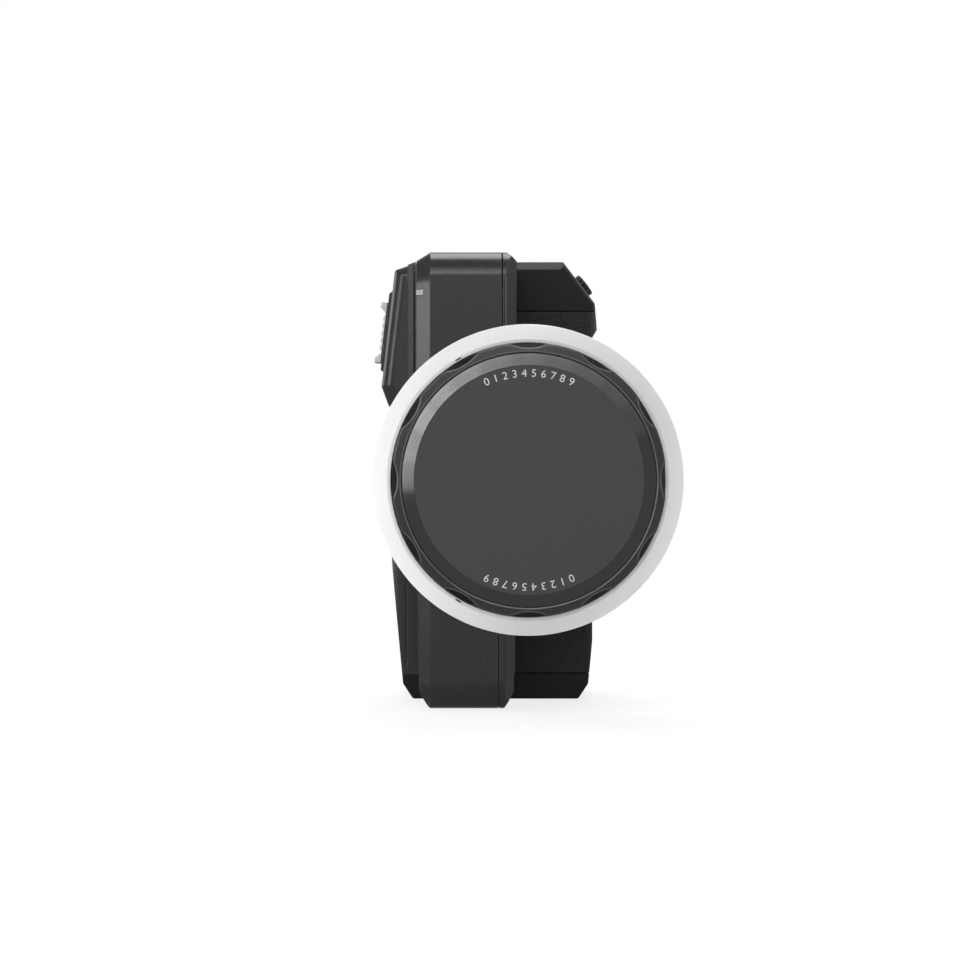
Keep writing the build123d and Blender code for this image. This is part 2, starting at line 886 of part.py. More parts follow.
def pedestal():
    floor = post(pedestal_radius, 0, pedestal_height)
    floor -= post(pedestal_radius - pedestal_wall, pedestal_wall, pedestal_height + overrun)
    pin_angle = math.degrees(math.asin(stop_pin_radius / (pedestal_radius + stop_pin_gap)))
    lug_turn = 360.0 - knob_turn - (pin_angle + stop_margin) / half_share
    low = pedestal_height - stop_height
    lug_points = [
        (pedestal_radius - pedestal_wall * half_share, low),
        (pedestal_radius + stop_reach, low),
        (pedestal_radius + stop_reach, pedestal_height),
        (pedestal_radius - pedestal_wall * half_share, pedestal_height),
    ]
    lug_start = knob_mark_angle - pin_angle - stop_margin - lug_turn
    lug = Rot(0, 0, lug_start) * turned(lug_points, turn=lug_turn)
    return knob_frame * (floor + lug)


def pedestal_back():
    points = [(0, -skirt_depth), (pedestal_radius, -skirt_depth), (pedestal_radius, 0), (0, 0)]
    drum = turned(points, [0, skirt_round, 0, 0])
    reach = pedestal_radius + overrun
    drum &= span(side_face, reach, -reach, reach, -skirt_depth, 0)
    room = post(pedestal_radius - pedestal_wall, -skirt_depth + pedestal_wall, overrun)
    room &= span(side_face + pedestal_wall, reach, -reach, reach, -skirt_depth, overrun)
    return knob_frame * (drum - room) - side_wire_hole()


def motor_board():
    low = -skirt_depth + pedestal_wall
    left = side_face + pedestal_wall + motor_board_inset
    spot = Pos(left + motor_board_width * half_share, 0, 0)
    return knob_frame * spot * plate(motor_board_width, motor_board_height, low, low + board_thickness)


# Bearing tube, bearings and shaft
def bearing_tube():
    bore = bearing_radius + press_gap
    step = bearing_radius - bearing_shoulder
    points = [
        (bore, pedestal_wall),
        (tube_flange_radius, pedestal_wall),
        (tube_flange_radius, pedestal_wall + tube_flange_thickness),
        (tube_radius, pedestal_wall + tube_flange_thickness),
        (tube_radius, tube_top),
        (bore, tube_top),
        (bore, upper_bearing),
        (step, upper_bearing),
        (step, lower_bearing + bearing_width),
        (bore, lower_bearing + bearing_width),
    ]
    return knob_frame * turned(points)


def bearing_rings(inner, outer):
    rings = [ring(inner, outer, low, low + bearing_width) for low in (lower_bearing, upper_bearing)]
    return together([knob_frame * race for race in rings])


def bearing_outer_rings():
    return bearing_rings(bearing_radius - bearing_rim, bearing_radius)


def bearing_inner_rings():
    return bearing_rings(shaft_radius + press_gap, bearing_radius - bearing_rim - bearing_split)


def knob_shaft():
    points = [
        (0, shaft_rear),
        (shaft_radius, shaft_rear),
        (shaft_radius, web_rear - hub_thickness),
        (hub_radius, web_rear - hub_thickness),
        (hub_radius, web_rear),
        (shaft_radius, web_rear),
        (shaft_radius, web_front),
        (0, web_front),
    ]
    return knob_frame * turned(points)


# Knob: fluted grip, face disc and stop pin
def knob_grip():
    bore = shaft_radius + press_gap
    edge = face_radius + face_gap
    points = [
        (bore, web_rear),
        (rotor_bore, web_rear),
        (rotor_bore, rotor_step),
        (knob_bore, rotor_step),
        (knob_bore, knob_lift),
        (flange_radius, knob_lift),
        (flange_radius, ring_seat),
        (knob_radius, ring_seat),
        (knob_radius, rim_top - rim_fall - rim_corner),
        (knob_radius - rim_corner, rim_top - rim_fall),
        (edge, rim_top),
        (edge, web_front),
        (bore, web_front),
    ]
    body = turned(points)
    flute_x = knob_radius - flute_depth + flute_radius
    flute = Pos(flute_x, 0, rim_top) * Rot(0, -flute_tilt, 0) * Cylinder(flute_radius, knob_height)
    body -= around(flute_count, flute)
    body -= magnet_blocks(ring_seat - ring_magnet_depth, press_gap)
    return knob_frame * body - stop_pin_bar(stop_pin_radius + press_gap)


def knob_face():
    points = [
        (0, web_front),
        (face_radius, web_front),
        (face_radius, knob_height - face_bevel_drop),
        (face_radius - face_bevel_width, knob_height),
        (0, knob_height),
    ]
    return knob_frame * turned(points)


def stop_pin_bar(radius):
    bar = Rot(0, 90, 0) * post(radius, 0, stop_pin_length)
    height = pedestal_height - stop_height * half_share
    spot = Rot(0, 0, knob_mark_angle) * Pos(pedestal_radius + stop_pin_gap, 0, height)
    return knob_frame * spot * bar


def stop_pin():
    return stop_pin_bar(stop_pin_radius)


# Marking ring and the magnets that hold it
def magnet_blocks(low, room):
    size = ring_magnet_size + room / half_share
    block = plate(size, size, low, low + ring_magnet_depth)
    spot = Pos((ring_bore + flange_radius) * half_share, 0, 0)
    return around(ring_magnet_count, spot * block)


def marking_ring():
    lip_top = ring_seat + ring_lip_height
    rim = flange_radius + ring_fit
    points = [
        (ring_bore, ring_seat),
        (ring_bore, lip_top - ring_lip_drop),
        (ring_bore + ring_lip_width, lip_top),
        (ring_radius, lip_top - ring_cone_drop),
        (ring_radius, knob_lift + ring_edge),
        (ring_radius - ring_edge, knob_lift),
        (rim, knob_lift),
        (rim, ring_seat),
    ]
    return knob_frame * (turned(points) - magnet_blocks(ring_seat, press_gap))


def magnets_at(low):
    return together([knob_frame * block for block in magnet_blocks(low, 0)])


# Drag motor and encoder
stator_middle = rotor_foot + rotor_height * half_share
stator_inner = tube_radius + press_gap
stator_outer = rotor_bore - press_gap - yoke_thickness - magnet_thickness - stator_gap


def stator():
    low = stator_middle - stator_height * half_share
    high = low + stator_height
    body = ring(stator_inner, stator_inner + stator_core, low, high)
    neck_end = stator_outer - tooth_tip_thickness
    neck_start = stator_inner + stator_core * half_share
    neck_middle = (neck_end + neck_start) * half_share
    neck = Pos(neck_middle, 0, 0) * plate(neck_end - neck_start, tooth_neck, low, high)
    tip_width = 2 * math.pi * stator_outer / tooth_count - tooth_tip_gap
    tip_block = Pos(neck_end, 0, 0) * plate(tooth_tip_thickness / half_share, tip_width, low, high)
    tip = tip_block & ring(neck_end, stator_outer, low, high)
    body += around(tooth_count, neck + tip)
    return knob_frame * body


def coils():
    low = stator_middle - stator_height * half_share
    high = low + stator_height
    start = stator_inner + stator_core + coil_gap
    end = stator_outer - tooth_tip_thickness
    end_x = math.sqrt(end ** 2 - (tooth_neck * half_share + coil_wall) ** 2) - coil_gap
    middle = Pos((start + end_x) * half_share, 0, 0)
    across = tooth_neck + coil_gap / half_share
    body = plate(end_x - start, across + coil_wall / half_share, low - coil_wall, high + coil_wall)
    body -= plate(end_x - start + overrun, across, low - coil_gap, high + coil_gap)
    return together([knob_frame * coil for coil in around(tooth_count, middle * body)])


def rotor_yoke():
    outer = rotor_bore - press_gap
    return knob_frame * ring(outer - yoke_thickness, outer, rotor_foot, rotor_foot + rotor_height)


def rotor_magnets():
    outer = rotor_bore - press_gap - yoke_thickness - press_gap
    top = rotor_foot + rotor_height
    width = 2 * math.pi * outer / magnet_count - magnet_gap
    bar = plate(magnet_thickness / half_share, width, rotor_foot, top)
    arc = ring(outer - magnet_thickness, outer, rotor_foot, top)
    magnet = arc & Pos(outer, 0, 0) * bar
    return together([knob_frame * piece for piece in around(magnet_count, magnet)])


def encoder_magnet():
    return knob_frame * post(encoder_magnet_radius, shaft_rear - encoder_magnet_height, shaft_rear)


def encoder_board():
    top = pedestal_wall + encoder_board_thickness
    chip = plate(encoder_chip, encoder_chip, top, top + encoder_chip_height)
    board = post(bearing_radius - encoder_board_room, pedestal_wall, top)
    return knob_frame * (board + chip)


# Boards, cells and charging socket
def main_board():
    left, right, back = main_board_box()
    top = main_board_foot + main_board_length
    return span(left, right, back - board_thickness, back, main_board_foot, top)


def board_chips():
    left, right, back = main_board_box()
    front = back - board_thickness
    middle_x = (left + right) * half_share
    pitch = (main_board_length - can_length) / chip_count
    start = main_board_foot + (pitch - chip_size) * half_share
    chip = span(-chip_size * half_share, chip_size * half_share, -chip_height, 0, 0, chip_size)
    return together([Pos(middle_x, front, start + turn * pitch) * chip for turn in range(chip_count)])


def radio_can():
    left, right, back = main_board_box()
    front = back - board_thickness
    middle_x = (left + right) * half_share
    half = can_width * half_share
    top = main_board_foot + main_board_length
    return span(middle_x - half, middle_x + half, front - can_height, front, top - can_length, top)


def cells():
    low = base_cap_height + tray_floor
    cell = post(cell_radius, low, low + cell_length)
    return together([Pos(side * cell_spread, cell_y, 0) * cell for side in (-1, 1)])


def cell_tray():
    half = cell_spread + cell_radius
    near = grip_near + core_inset + tray_gap
    back = cell_y + cell_radius
    floor = span(-half, half, near, back, base_cap_height, base_cap_height + tray_floor)
    fence = span(-half, half, near, near + tray_wall, base_cap_height, base_cap_height + tray_height)
    rim_radius = cell_radius + tray_gap
    low = base_cap_height + tray_floor
    cup = post(rim_radius, low, low + tray_height)
    cups = [Pos(side * cell_spread, cell_y, 0) * cup for side in (-1, 1)]
    web = span(-half, half, near, cell_y - cell_radius * half_share, low, low + tray_height * half_share)
    corner_spots = base_screw_spots()
    reliefs = [spot * post(base_boss_radius + tray_margin, 0, low + tray_height) for spot in corner_spots]
    return floor + fence + web - cups - reliefs


def cell_link():
    low = base_cap_height + tray_floor + cell_length
    half = cell_spread + cell_radius * half_share
    near = cell_y - link_width * half_share
    return span(-half, half, near, near + link_width, low, low + link_thickness)


def charging_socket():
    shell = extrude(SlotOverall(port_width, port_height), amount=-port_depth)
    inner = SlotOverall(port_width - port_wall / half_share, port_height - port_wall / half_share)
    shell -= Pos(0, 0, overrun) * extrude(inner, amount=-port_depth + port_wall - overrun)
    tongue_foot = -port_depth + port_wall * half_share
    tongue = plate(port_tongue_width, port_tongue_thickness, tongue_foot, -port_tongue_sink)
    return port_plane() * (shell + tongue)


# Base thread
def thread_insert():
    return ring(thread_radius, thread_radius + insert_wall, 0, thread_depth)


pieces = {
    "main_housing": main_housing(),
    "upper_cover": upper_cover(),
    "lower_cover": lower_cover(),
    "index_bar": spine & index_zone(),
    "base_cap": base_cap(),
    "grip_rubber": grip_rubber(),
    "top_cap": top_cap(),
    "thumb_housing": thumb_housing(),
    "slider_plate": slider_plate(),
    "slider_cap": slider_cap(),
    "slider_carriage": slider_carriage(),
    "slider_rod": slider_rod(),
    "slider_springs": slider_springs(),
    "display_glass": display_glass(),
    "display_module": display_module(),
    "key_board": key_board(),
    "key_switches": key_switches(),
    "trigger_button": trigger_button(),
    "trigger_switch": trigger_switch(),
    "trigger_board": trigger_board(),
    "pedestal": pedestal(),
    "pedestal_back": pedestal_back(),
    "motor_board": motor_board(),
    "bearing_tube": bearing_tube(),
    "bearing_outer_rings": bearing_outer_rings(),
    "bearing_inner_rings": bearing_inner_rings(),
    "knob_shaft": knob_shaft(),
    "knob_grip": knob_grip(),
    "knob_face": knob_face(),
    "stop_pin": stop_pin(),
    "marking_ring": marking_ring(),
    "flange_magnets": magnets_at(ring_seat - ring_magnet_depth),
    "ring_magnets": magnets_at(ring_seat),
    "stator": stator(),
    "coils": coils(),
    "rotor_yoke": rotor_yoke(),
    "rotor_magnets": rotor_magnets(),
    "encoder_magnet": encoder_magnet(),
    "encoder_board": encoder_board(),
    "main_board": main_board(),
    "board_chips": board_chips(),
    "radio_can": radio_can(),
    "cells": cells(),
    "cell_tray": cell_tray(),
    "cell_link": cell_link(),
    "charging_socket": charging_socket(),
    "thread_insert": thread_insert(),
}
for place, spot in zip(("low", "middle", "high"), key_spots()):
    pieces["key_" + place] = key(spot)

os.makedirs("parts", exist_ok=True)
for name, shape in pieces.items():
    export_step(shape, os.path.join("parts", name + ".step"))
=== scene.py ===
import json
import math
import bpy
import bmesh
from mathutils import Matrix, Vector


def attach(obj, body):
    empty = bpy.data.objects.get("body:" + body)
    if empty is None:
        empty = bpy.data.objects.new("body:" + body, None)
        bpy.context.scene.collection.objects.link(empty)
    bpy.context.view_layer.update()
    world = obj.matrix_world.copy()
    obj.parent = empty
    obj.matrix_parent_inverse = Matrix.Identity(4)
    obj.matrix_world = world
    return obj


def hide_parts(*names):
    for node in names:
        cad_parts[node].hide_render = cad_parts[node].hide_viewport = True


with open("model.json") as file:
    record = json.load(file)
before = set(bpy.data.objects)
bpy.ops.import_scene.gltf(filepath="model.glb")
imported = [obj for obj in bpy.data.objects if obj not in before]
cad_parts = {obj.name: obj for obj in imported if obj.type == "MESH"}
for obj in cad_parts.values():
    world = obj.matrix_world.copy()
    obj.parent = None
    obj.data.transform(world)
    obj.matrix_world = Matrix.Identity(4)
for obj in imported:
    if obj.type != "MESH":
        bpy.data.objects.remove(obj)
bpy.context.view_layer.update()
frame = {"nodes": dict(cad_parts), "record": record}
nodes = frame["nodes"]
mm = 0.001
print("frame loaded,", len(nodes), "nodes")

# studio: camera, lamps, world and floor
studio = {
    "lens": 100.0, "sensor": 36.0, "nearClip": 0.01, "cameraSpot": (-4.53, -789.0, 63.5),
    "ambient": 0.17, "backdrop": 1.0, "floorSize": 8.0, "floorColor": (0.9, 0.9, 0.9, 1),
    "floorShadow": 0.2, "shadowReach": (0.05, 0.16),
    "lamps": {
        "frontLamp": {"spot": (-60, -1250, 180), "aim": (0, -60, 64), "size": (1.0, 1.0), "power": 2.5},
        "sideLamp": {"spot": (-824, -446, 170), "aim": (-16, -53, 100), "size": (0.15, 0.15), "power": 0.88},
        "bandLamp": {"spot": (-30, -717, 728), "aim": (-4, -54, 121), "size": (0.5, 0.12), "power": 1.6},
        "leftLamp": {"spot": (-720, 500, 330), "aim": (-20, -45, 90), "size": (0.45, 0.45), "power": 4.4},
        "rightLamp": {"spot": (850, 260, 240), "aim": (26, -10, 80), "size": (0.35, 0.35), "power": 1.8},
        "backLamp": {"spot": (0, 420, 860), "aim": (-8, -45, 124), "size": (0.4, 0.6), "power": 9.5},
    },
    # a soft arc of strip lamps to the upper left, which the bevel of the knob's face mirrors; power by angle
    "arc": {"middle": (8.5, -81.0, 63.5), "radius": 32.2, "slope": 27.3, "reach": 900.0, "size": (0.2, 0.06),
            "powers": {30: 0.04, 45: 0.08, 60: 0.12, 75: 0.16, 90: 0.22, 105: 0.3, 120: 0.44, 135: 0.58, 150: 0.65,
                       165: 0.5, 180: 0.3}},
}


def addCamera():
    data = bpy.data.cameras.new("photoCamera")
    data.lens = studio["lens"]
    data.sensor_width = studio["sensor"]
    data.clip_start = studio["nearClip"]
    camera = bpy.data.objects.new("photoCamera", data)
    camera.location = Vector(studio["cameraSpot"]) * mm
    camera.rotation_euler = (math.pi / 2, 0, 0)
    bpy.context.scene.collection.objects.link(camera)
    bpy.context.scene.camera = camera


def addLamp(name, spot, aim, size, power, along=(1, 0, 0)):
    data = bpy.data.lights.new(name, "AREA")
    data.shape = "RECTANGLE"
    data.size, data.size_y = size
    data.energy = power
    lamp = bpy.data.objects.new(name, data)
    out = (Vector(spot) - Vector(aim)).normalized()
    across = (Vector(along) - out * out.dot(Vector(along))).normalized()
    turn = Matrix((across, out.cross(across), out)).transposed().to_4x4()
    lamp.matrix_world = Matrix.Translation(Vector(spot) * mm) @ turn
    bpy.context.scene.collection.objects.link(lamp)


def addArc():
    arc = studio["arc"]
    slope = math.radians(arc["slope"])
    for degrees, power in arc["powers"].items():
        cosine, sine = math.cos(math.radians(degrees)), math.sin(math.radians(degrees))
        point = Vector(arc["middle"]) + Vector((cosine, 0, sine)) * arc["radius"]
        normal = Vector((cosine * math.sin(slope), -math.cos(slope), sine * math.sin(slope)))
        sight = (point - Vector(studio["cameraSpot"])).normalized()
        spot = point + sight.reflect(normal) * arc["reach"]
        addLamp("arcLamp%d" % degrees, spot, point, arc["size"], power, (-sine, 0, cosine))


# shader helpers: one node with its values, and the links between nodes
def put(tree, kind, settings=None, **values):
    node = tree.nodes.new(kind)
    for key, value in (settings or {}).items():
        setattr(node, key, value)
    for key, value in values.items():
        node.inputs[key.replace("_", " ")].default_value = value
    return node


def join(tree, *pairs):
    for source, target in pairs:
        tree.links.new(source, target)


def feed(tree, value, socket):  # a number, a colour or another socket
    if isinstance(value, bpy.types.NodeSocket):
        tree.links.new(value, socket)
    else:
        socket.default_value = value


def maths(tree, operation, first, second, clamp=False):
    node = put(tree, "ShaderNodeMath", {"operation": operation, "use_clamp": clamp})
    feed(tree, first, node.inputs[0])
    feed(tree, second, node.inputs[1])
    return node.outputs[0]


def seenDirectly(tree):  # 1 for camera, glossy and transmission rays
    path = put(tree, "ShaderNodeLightPath")
    first = maths(tree, "MAXIMUM", path.outputs["Is Camera Ray"], path.outputs["Is Glossy Ray"])
    return maths(tree, "MAXIMUM", first, path.outputs["Is Transmission Ray"])


def lightWorld():
    world = bpy.data.worlds.new("softStudio")
    world.use_nodes = True
    bpy.context.scene.world = world
    tree = world.node_tree
    tree.nodes.clear()
    shown = put(tree, "ShaderNodeBackground", Color=(1, 1, 1, 1), Strength=studio["backdrop"])
    soft = put(tree, "ShaderNodeBackground", Color=(1, 1, 1, 1), Strength=studio["ambient"])
    mix = put(tree, "ShaderNodeMixShader")
    out = put(tree, "ShaderNodeOutputWorld")
    join(tree, (seenDirectly(tree), mix.inputs[0]), (soft.outputs[0], mix.inputs[1]),
         (shown.outputs[0], mix.inputs[2]), (mix.outputs[0], out.inputs["Surface"]))


def addFloor():
    mesh = bpy.data.meshes.new("studioFloor")
    half = studio["floorSize"] / 2
    corners = [(-half, -half, 0), (half, -half, 0), (half, half, 0), (-half, half, 0)]
    mesh.from_pydata(corners, [], [(0, 1, 2, 3)])
    floor = bpy.data.objects.new("studioFloor", mesh)
    bpy.context.scene.collection.objects.link(floor)
    material = bpy.data.materials.new("paleFloor")
    material.use_nodes = True
    tree = material.node_tree
    tree.nodes.clear()
    paper = put(tree, "ShaderNodeBsdfDiffuse", Color=studio["floorColor"])
    white = put(tree, "ShaderNodeEmission", Color=(1, 1, 1, 1), Strength=studio["backdrop"])
    place = put(tree, "ShaderNodeTexCoord")  # the shadow shows near the object and fades out round it
    far = put(tree, "ShaderNodeVectorMath", {"operation": "LENGTH"})
    near, reach = studio["shadowReach"]
    fade = put(tree, "ShaderNodeMapRange", {"interpolation_type": "SMOOTHSTEP"},
               From_Min=near, From_Max=reach, To_Min=1 - studio["floorShadow"])
    mix = put(tree, "ShaderNodeMixShader")
    out = put(tree, "ShaderNodeOutputMaterial")
    join(tree, (place.outputs["Object"], far.inputs[0]), (far.outputs["Value"], fade.inputs["Value"]),
         (maths(tree, "MULTIPLY", seenDirectly(tree), fade.outputs[0]), mix.inputs[0]),
         (paper.outputs[0], mix.inputs[1]), (white.outputs[0], mix.inputs[2]),
         (mix.outputs[0], out.inputs["Surface"]))
    mesh.materials.append(material)


bpy.context.scene.view_settings.view_transform = "Standard"
addCamera()
for lampName, lampSpec in studio["lamps"].items():
    addLamp(lampName, **lampSpec)
addArc()
lightWorld()
addFloor()
print("studio ready")


# shared effects: noise settings, share of the slow drift, and the warp and folds of the hide
effects = {
    "grain": {"Detail": 3.0, "Roughness": 0.6}, "drift": {"Detail": 2.0, "Roughness": 0.5}, "driftShare": 0.08,
    "shadeRange": {"From_Min": 0.32, "From_Max": 0.68}, "edgeSamples": 6, "hideWarp": 0.0008, "warpDetail": 2.0,
    "foldWidth": 0.22, "wrinkleDetail": 4.0, "wrinkleScale": 3.0, "spunDetail": 2.0,
}


def newGroup(name, takes, gives):
    group = bpy.data.node_groups.new(name, "ShaderNodeTree")
    for label, value in takes.items():
        socket = group.interface.new_socket(label, in_out="INPUT", socket_type="NodeSocketFloat")
        socket.default_value = value
    for label, kind in gives.items():
        group.interface.new_socket(label, in_out="OUTPUT", socket_type=kind)
    return group, group.nodes.new("NodeGroupInput"), group.nodes.new("NodeGroupOutput")


def fineGrainGroup():  # close grain for bump, slow drift for colour
    group, given, out = newGroup("fineGrain", {"Scale": 2400.0, "Drift": 60.0},
                                 {"Height": "NodeSocketFloat", "Shade": "NodeSocketFloat"})
    place = put(group, "ShaderNodeTexCoord")
    grain = put(group, "ShaderNodeTexNoise", **effects["grain"])
    drift = put(group, "ShaderNodeTexNoise", **effects["drift"])
    join(group, (place.outputs["Object"], grain.inputs["Vector"]), (given.outputs["Scale"], grain.inputs["Scale"]),
         (place.outputs["Object"], drift.inputs["Vector"]), (given.outputs["Drift"], drift.inputs["Scale"]))
    both = put(group, "ShaderNodeMix", {"data_type": "FLOAT"})
    both.inputs[0].default_value = effects["driftShare"]
    clear = put(group, "ShaderNodeMapRange", **effects["shadeRange"])
    join(group, (grain.outputs[0], out.inputs["Height"]), (grain.outputs[0], both.inputs[2]),
         (drift.outputs[0], both.inputs[3]), (both.outputs[0], clear.inputs["Value"]),
         (clear.outputs[0], out.inputs["Shade"]))
    return group


def softEdgeGroup():  # rounds the edges in the shading and marks where they are
    group, given, out = newGroup("softEdge", {"Radius": 0.0004, "Reach": 6.0},
                                 {"Normal": "NodeSocketVector", "Mask": "NodeSocketFloat"})
    bevel = put(group, "ShaderNodeBevel", {"samples": effects["edgeSamples"]})
    facing = put(group, "ShaderNodeNewGeometry")
    dot = put(group, "ShaderNodeVectorMath", {"operation": "DOT_PRODUCT"})
    join(group, (given.outputs["Radius"], bevel.inputs["Radius"]), (bevel.outputs[0], dot.inputs[0]),
         (facing.outputs["Normal"], dot.inputs[1]))
    turn = maths(group, "SUBTRACT", 1.0, dot.outputs["Value"])
    join(group, (bevel.outputs[0], out.inputs["Normal"]),
         (maths(group, "MULTIPLY", turn, given.outputs["Reach"], clamp=True), out.inputs["Mask"]))
    return group


def leatherGroup():  # pebbled hide: rounded cells with wrinkles between them
    group, given, out = newGroup("pebbledHide", {"Scale": 800.0, "Wrinkle": 0.35},
                                 {"Height": "NodeSocketFloat", "Crease": "NodeSocketFloat"})
    place = put(group, "ShaderNodeTexCoord")
    warp = put(group, "ShaderNodeTexNoise", Detail=effects["warpDetail"])
    shift = put(group, "ShaderNodeVectorMath", {"operation": "MULTIPLY_ADD"})
    shift.inputs[1].default_value = [effects["hideWarp"]] * 3
    cells = put(group, "ShaderNodeTexVoronoi", {"feature": "DISTANCE_TO_EDGE"})
    fold = put(group, "ShaderNodeMapRange", {"interpolation_type": "SMOOTHSTEP"}, From_Max=effects["foldWidth"])
    fine = put(group, "ShaderNodeTexNoise", Detail=effects["wrinkleDetail"])
    rough = put(group, "ShaderNodeMath", {"operation": "MULTIPLY_ADD"})
    join(group, (place.outputs["Object"], warp.inputs["Vector"]), (given.outputs["Scale"], warp.inputs["Scale"]),
         (warp.outputs[1], shift.inputs[0]), (place.outputs["Object"], shift.inputs[2]),
         (shift.outputs[0], cells.inputs["Vector"]), (given.outputs["Scale"], cells.inputs["Scale"]),
         (cells.outputs["Distance"], fold.inputs["Value"]), (place.outputs["Object"], fine.inputs["Vector"]),
         (maths(group, "MULTIPLY", given.outputs["Scale"], effects["wrinkleScale"]), fine.inputs["Scale"]),
         (fine.outputs[0], rough.inputs[0]), (given.outputs["Wrinkle"], rough.inputs[1]),
         (fold.outputs[0], rough.inputs[2]), (rough.outputs[0], out.inputs["Height"]),
         (maths(group, "SUBTRACT", 1.0, fold.outputs[0]), out.inputs["Crease"]))
    return group


def spunGroup():  # turning marks round the knob's axis
    group, given, out = newGroup("spunMarks", {"Centre X": 0.0085, "Centre Z": 0.0635, "Pitch": 9000.0},
                                 {"Height": "NodeSocketFloat", "Radius": "NodeSocketFloat"})
    place = put(group, "ShaderNodeTexCoord")
    split = put(group, "ShaderNodeSeparateXYZ")
    flat = put(group, "ShaderNodeCombineXYZ")
    length = put(group, "ShaderNodeVectorMath", {"operation": "LENGTH"})
    rings = put(group, "ShaderNodeTexNoise", {"noise_dimensions": "1D"}, Detail=effects["spunDetail"])
    join(group, (place.outputs["Object"], split.inputs[0]),
         (maths(group, "SUBTRACT", split.outputs["X"], given.outputs["Centre X"]), flat.inputs["X"]),
         (maths(group, "SUBTRACT", split.outputs["Z"], given.outputs["Centre Z"]), flat.inputs["Y"]),
         (flat.outputs[0], length.inputs[0]), (length.outputs["Value"], rings.inputs["W"]),
         (given.outputs["Pitch"], rings.inputs["Scale"]), (rings.outputs[0], out.inputs["Height"]),
         (length.outputs["Value"], out.inputs["Radius"]))
    return group


fineGrain, softEdge = fineGrainGroup(), softEdgeGroup()
pebbledHide, spunMarks = leatherGroup(), spunGroup()


def useGroup(tree, group, **values):
    node = tree.nodes.new("ShaderNodeGroup")
    node.node_tree = group
    for key, value in values.items():
        node.inputs[key.replace("_", " ")].default_value = value
    return node


def blendColor(tree, amount, low, high):
    mix = put(tree, "ShaderNodeMix", {"data_type": "RGBA"})
    feed(tree, amount, mix.inputs[0])
    feed(tree, low, mix.inputs[6])
    feed(tree, high, mix.inputs[7])
    return mix.outputs[2]


def spread(tree, value, low, high):  # a 0 to 1 value laid over a range
    lay = put(tree, "ShaderNodeMapRange", To_Min=low, To_Max=high)
    tree.links.new(value, lay.inputs["Value"])
    return lay.outputs[0]


def rgba(red, green, blue):
    return (red, green, blue, 1.0)


def grey(level, tint=0.015):  # a neutral grey that leans a little to blue
    return rgba(level, level, level * (1 + tint))


def newMaterial(name, **values):
    material = bpy.data.materials.new(name)
    material.use_nodes = True
    shader = material.node_tree.nodes["Principled BSDF"]
    for key, value in values.items():
        shader.inputs[key.replace("_", " ")].default_value = value
    return material, material.node_tree, shader


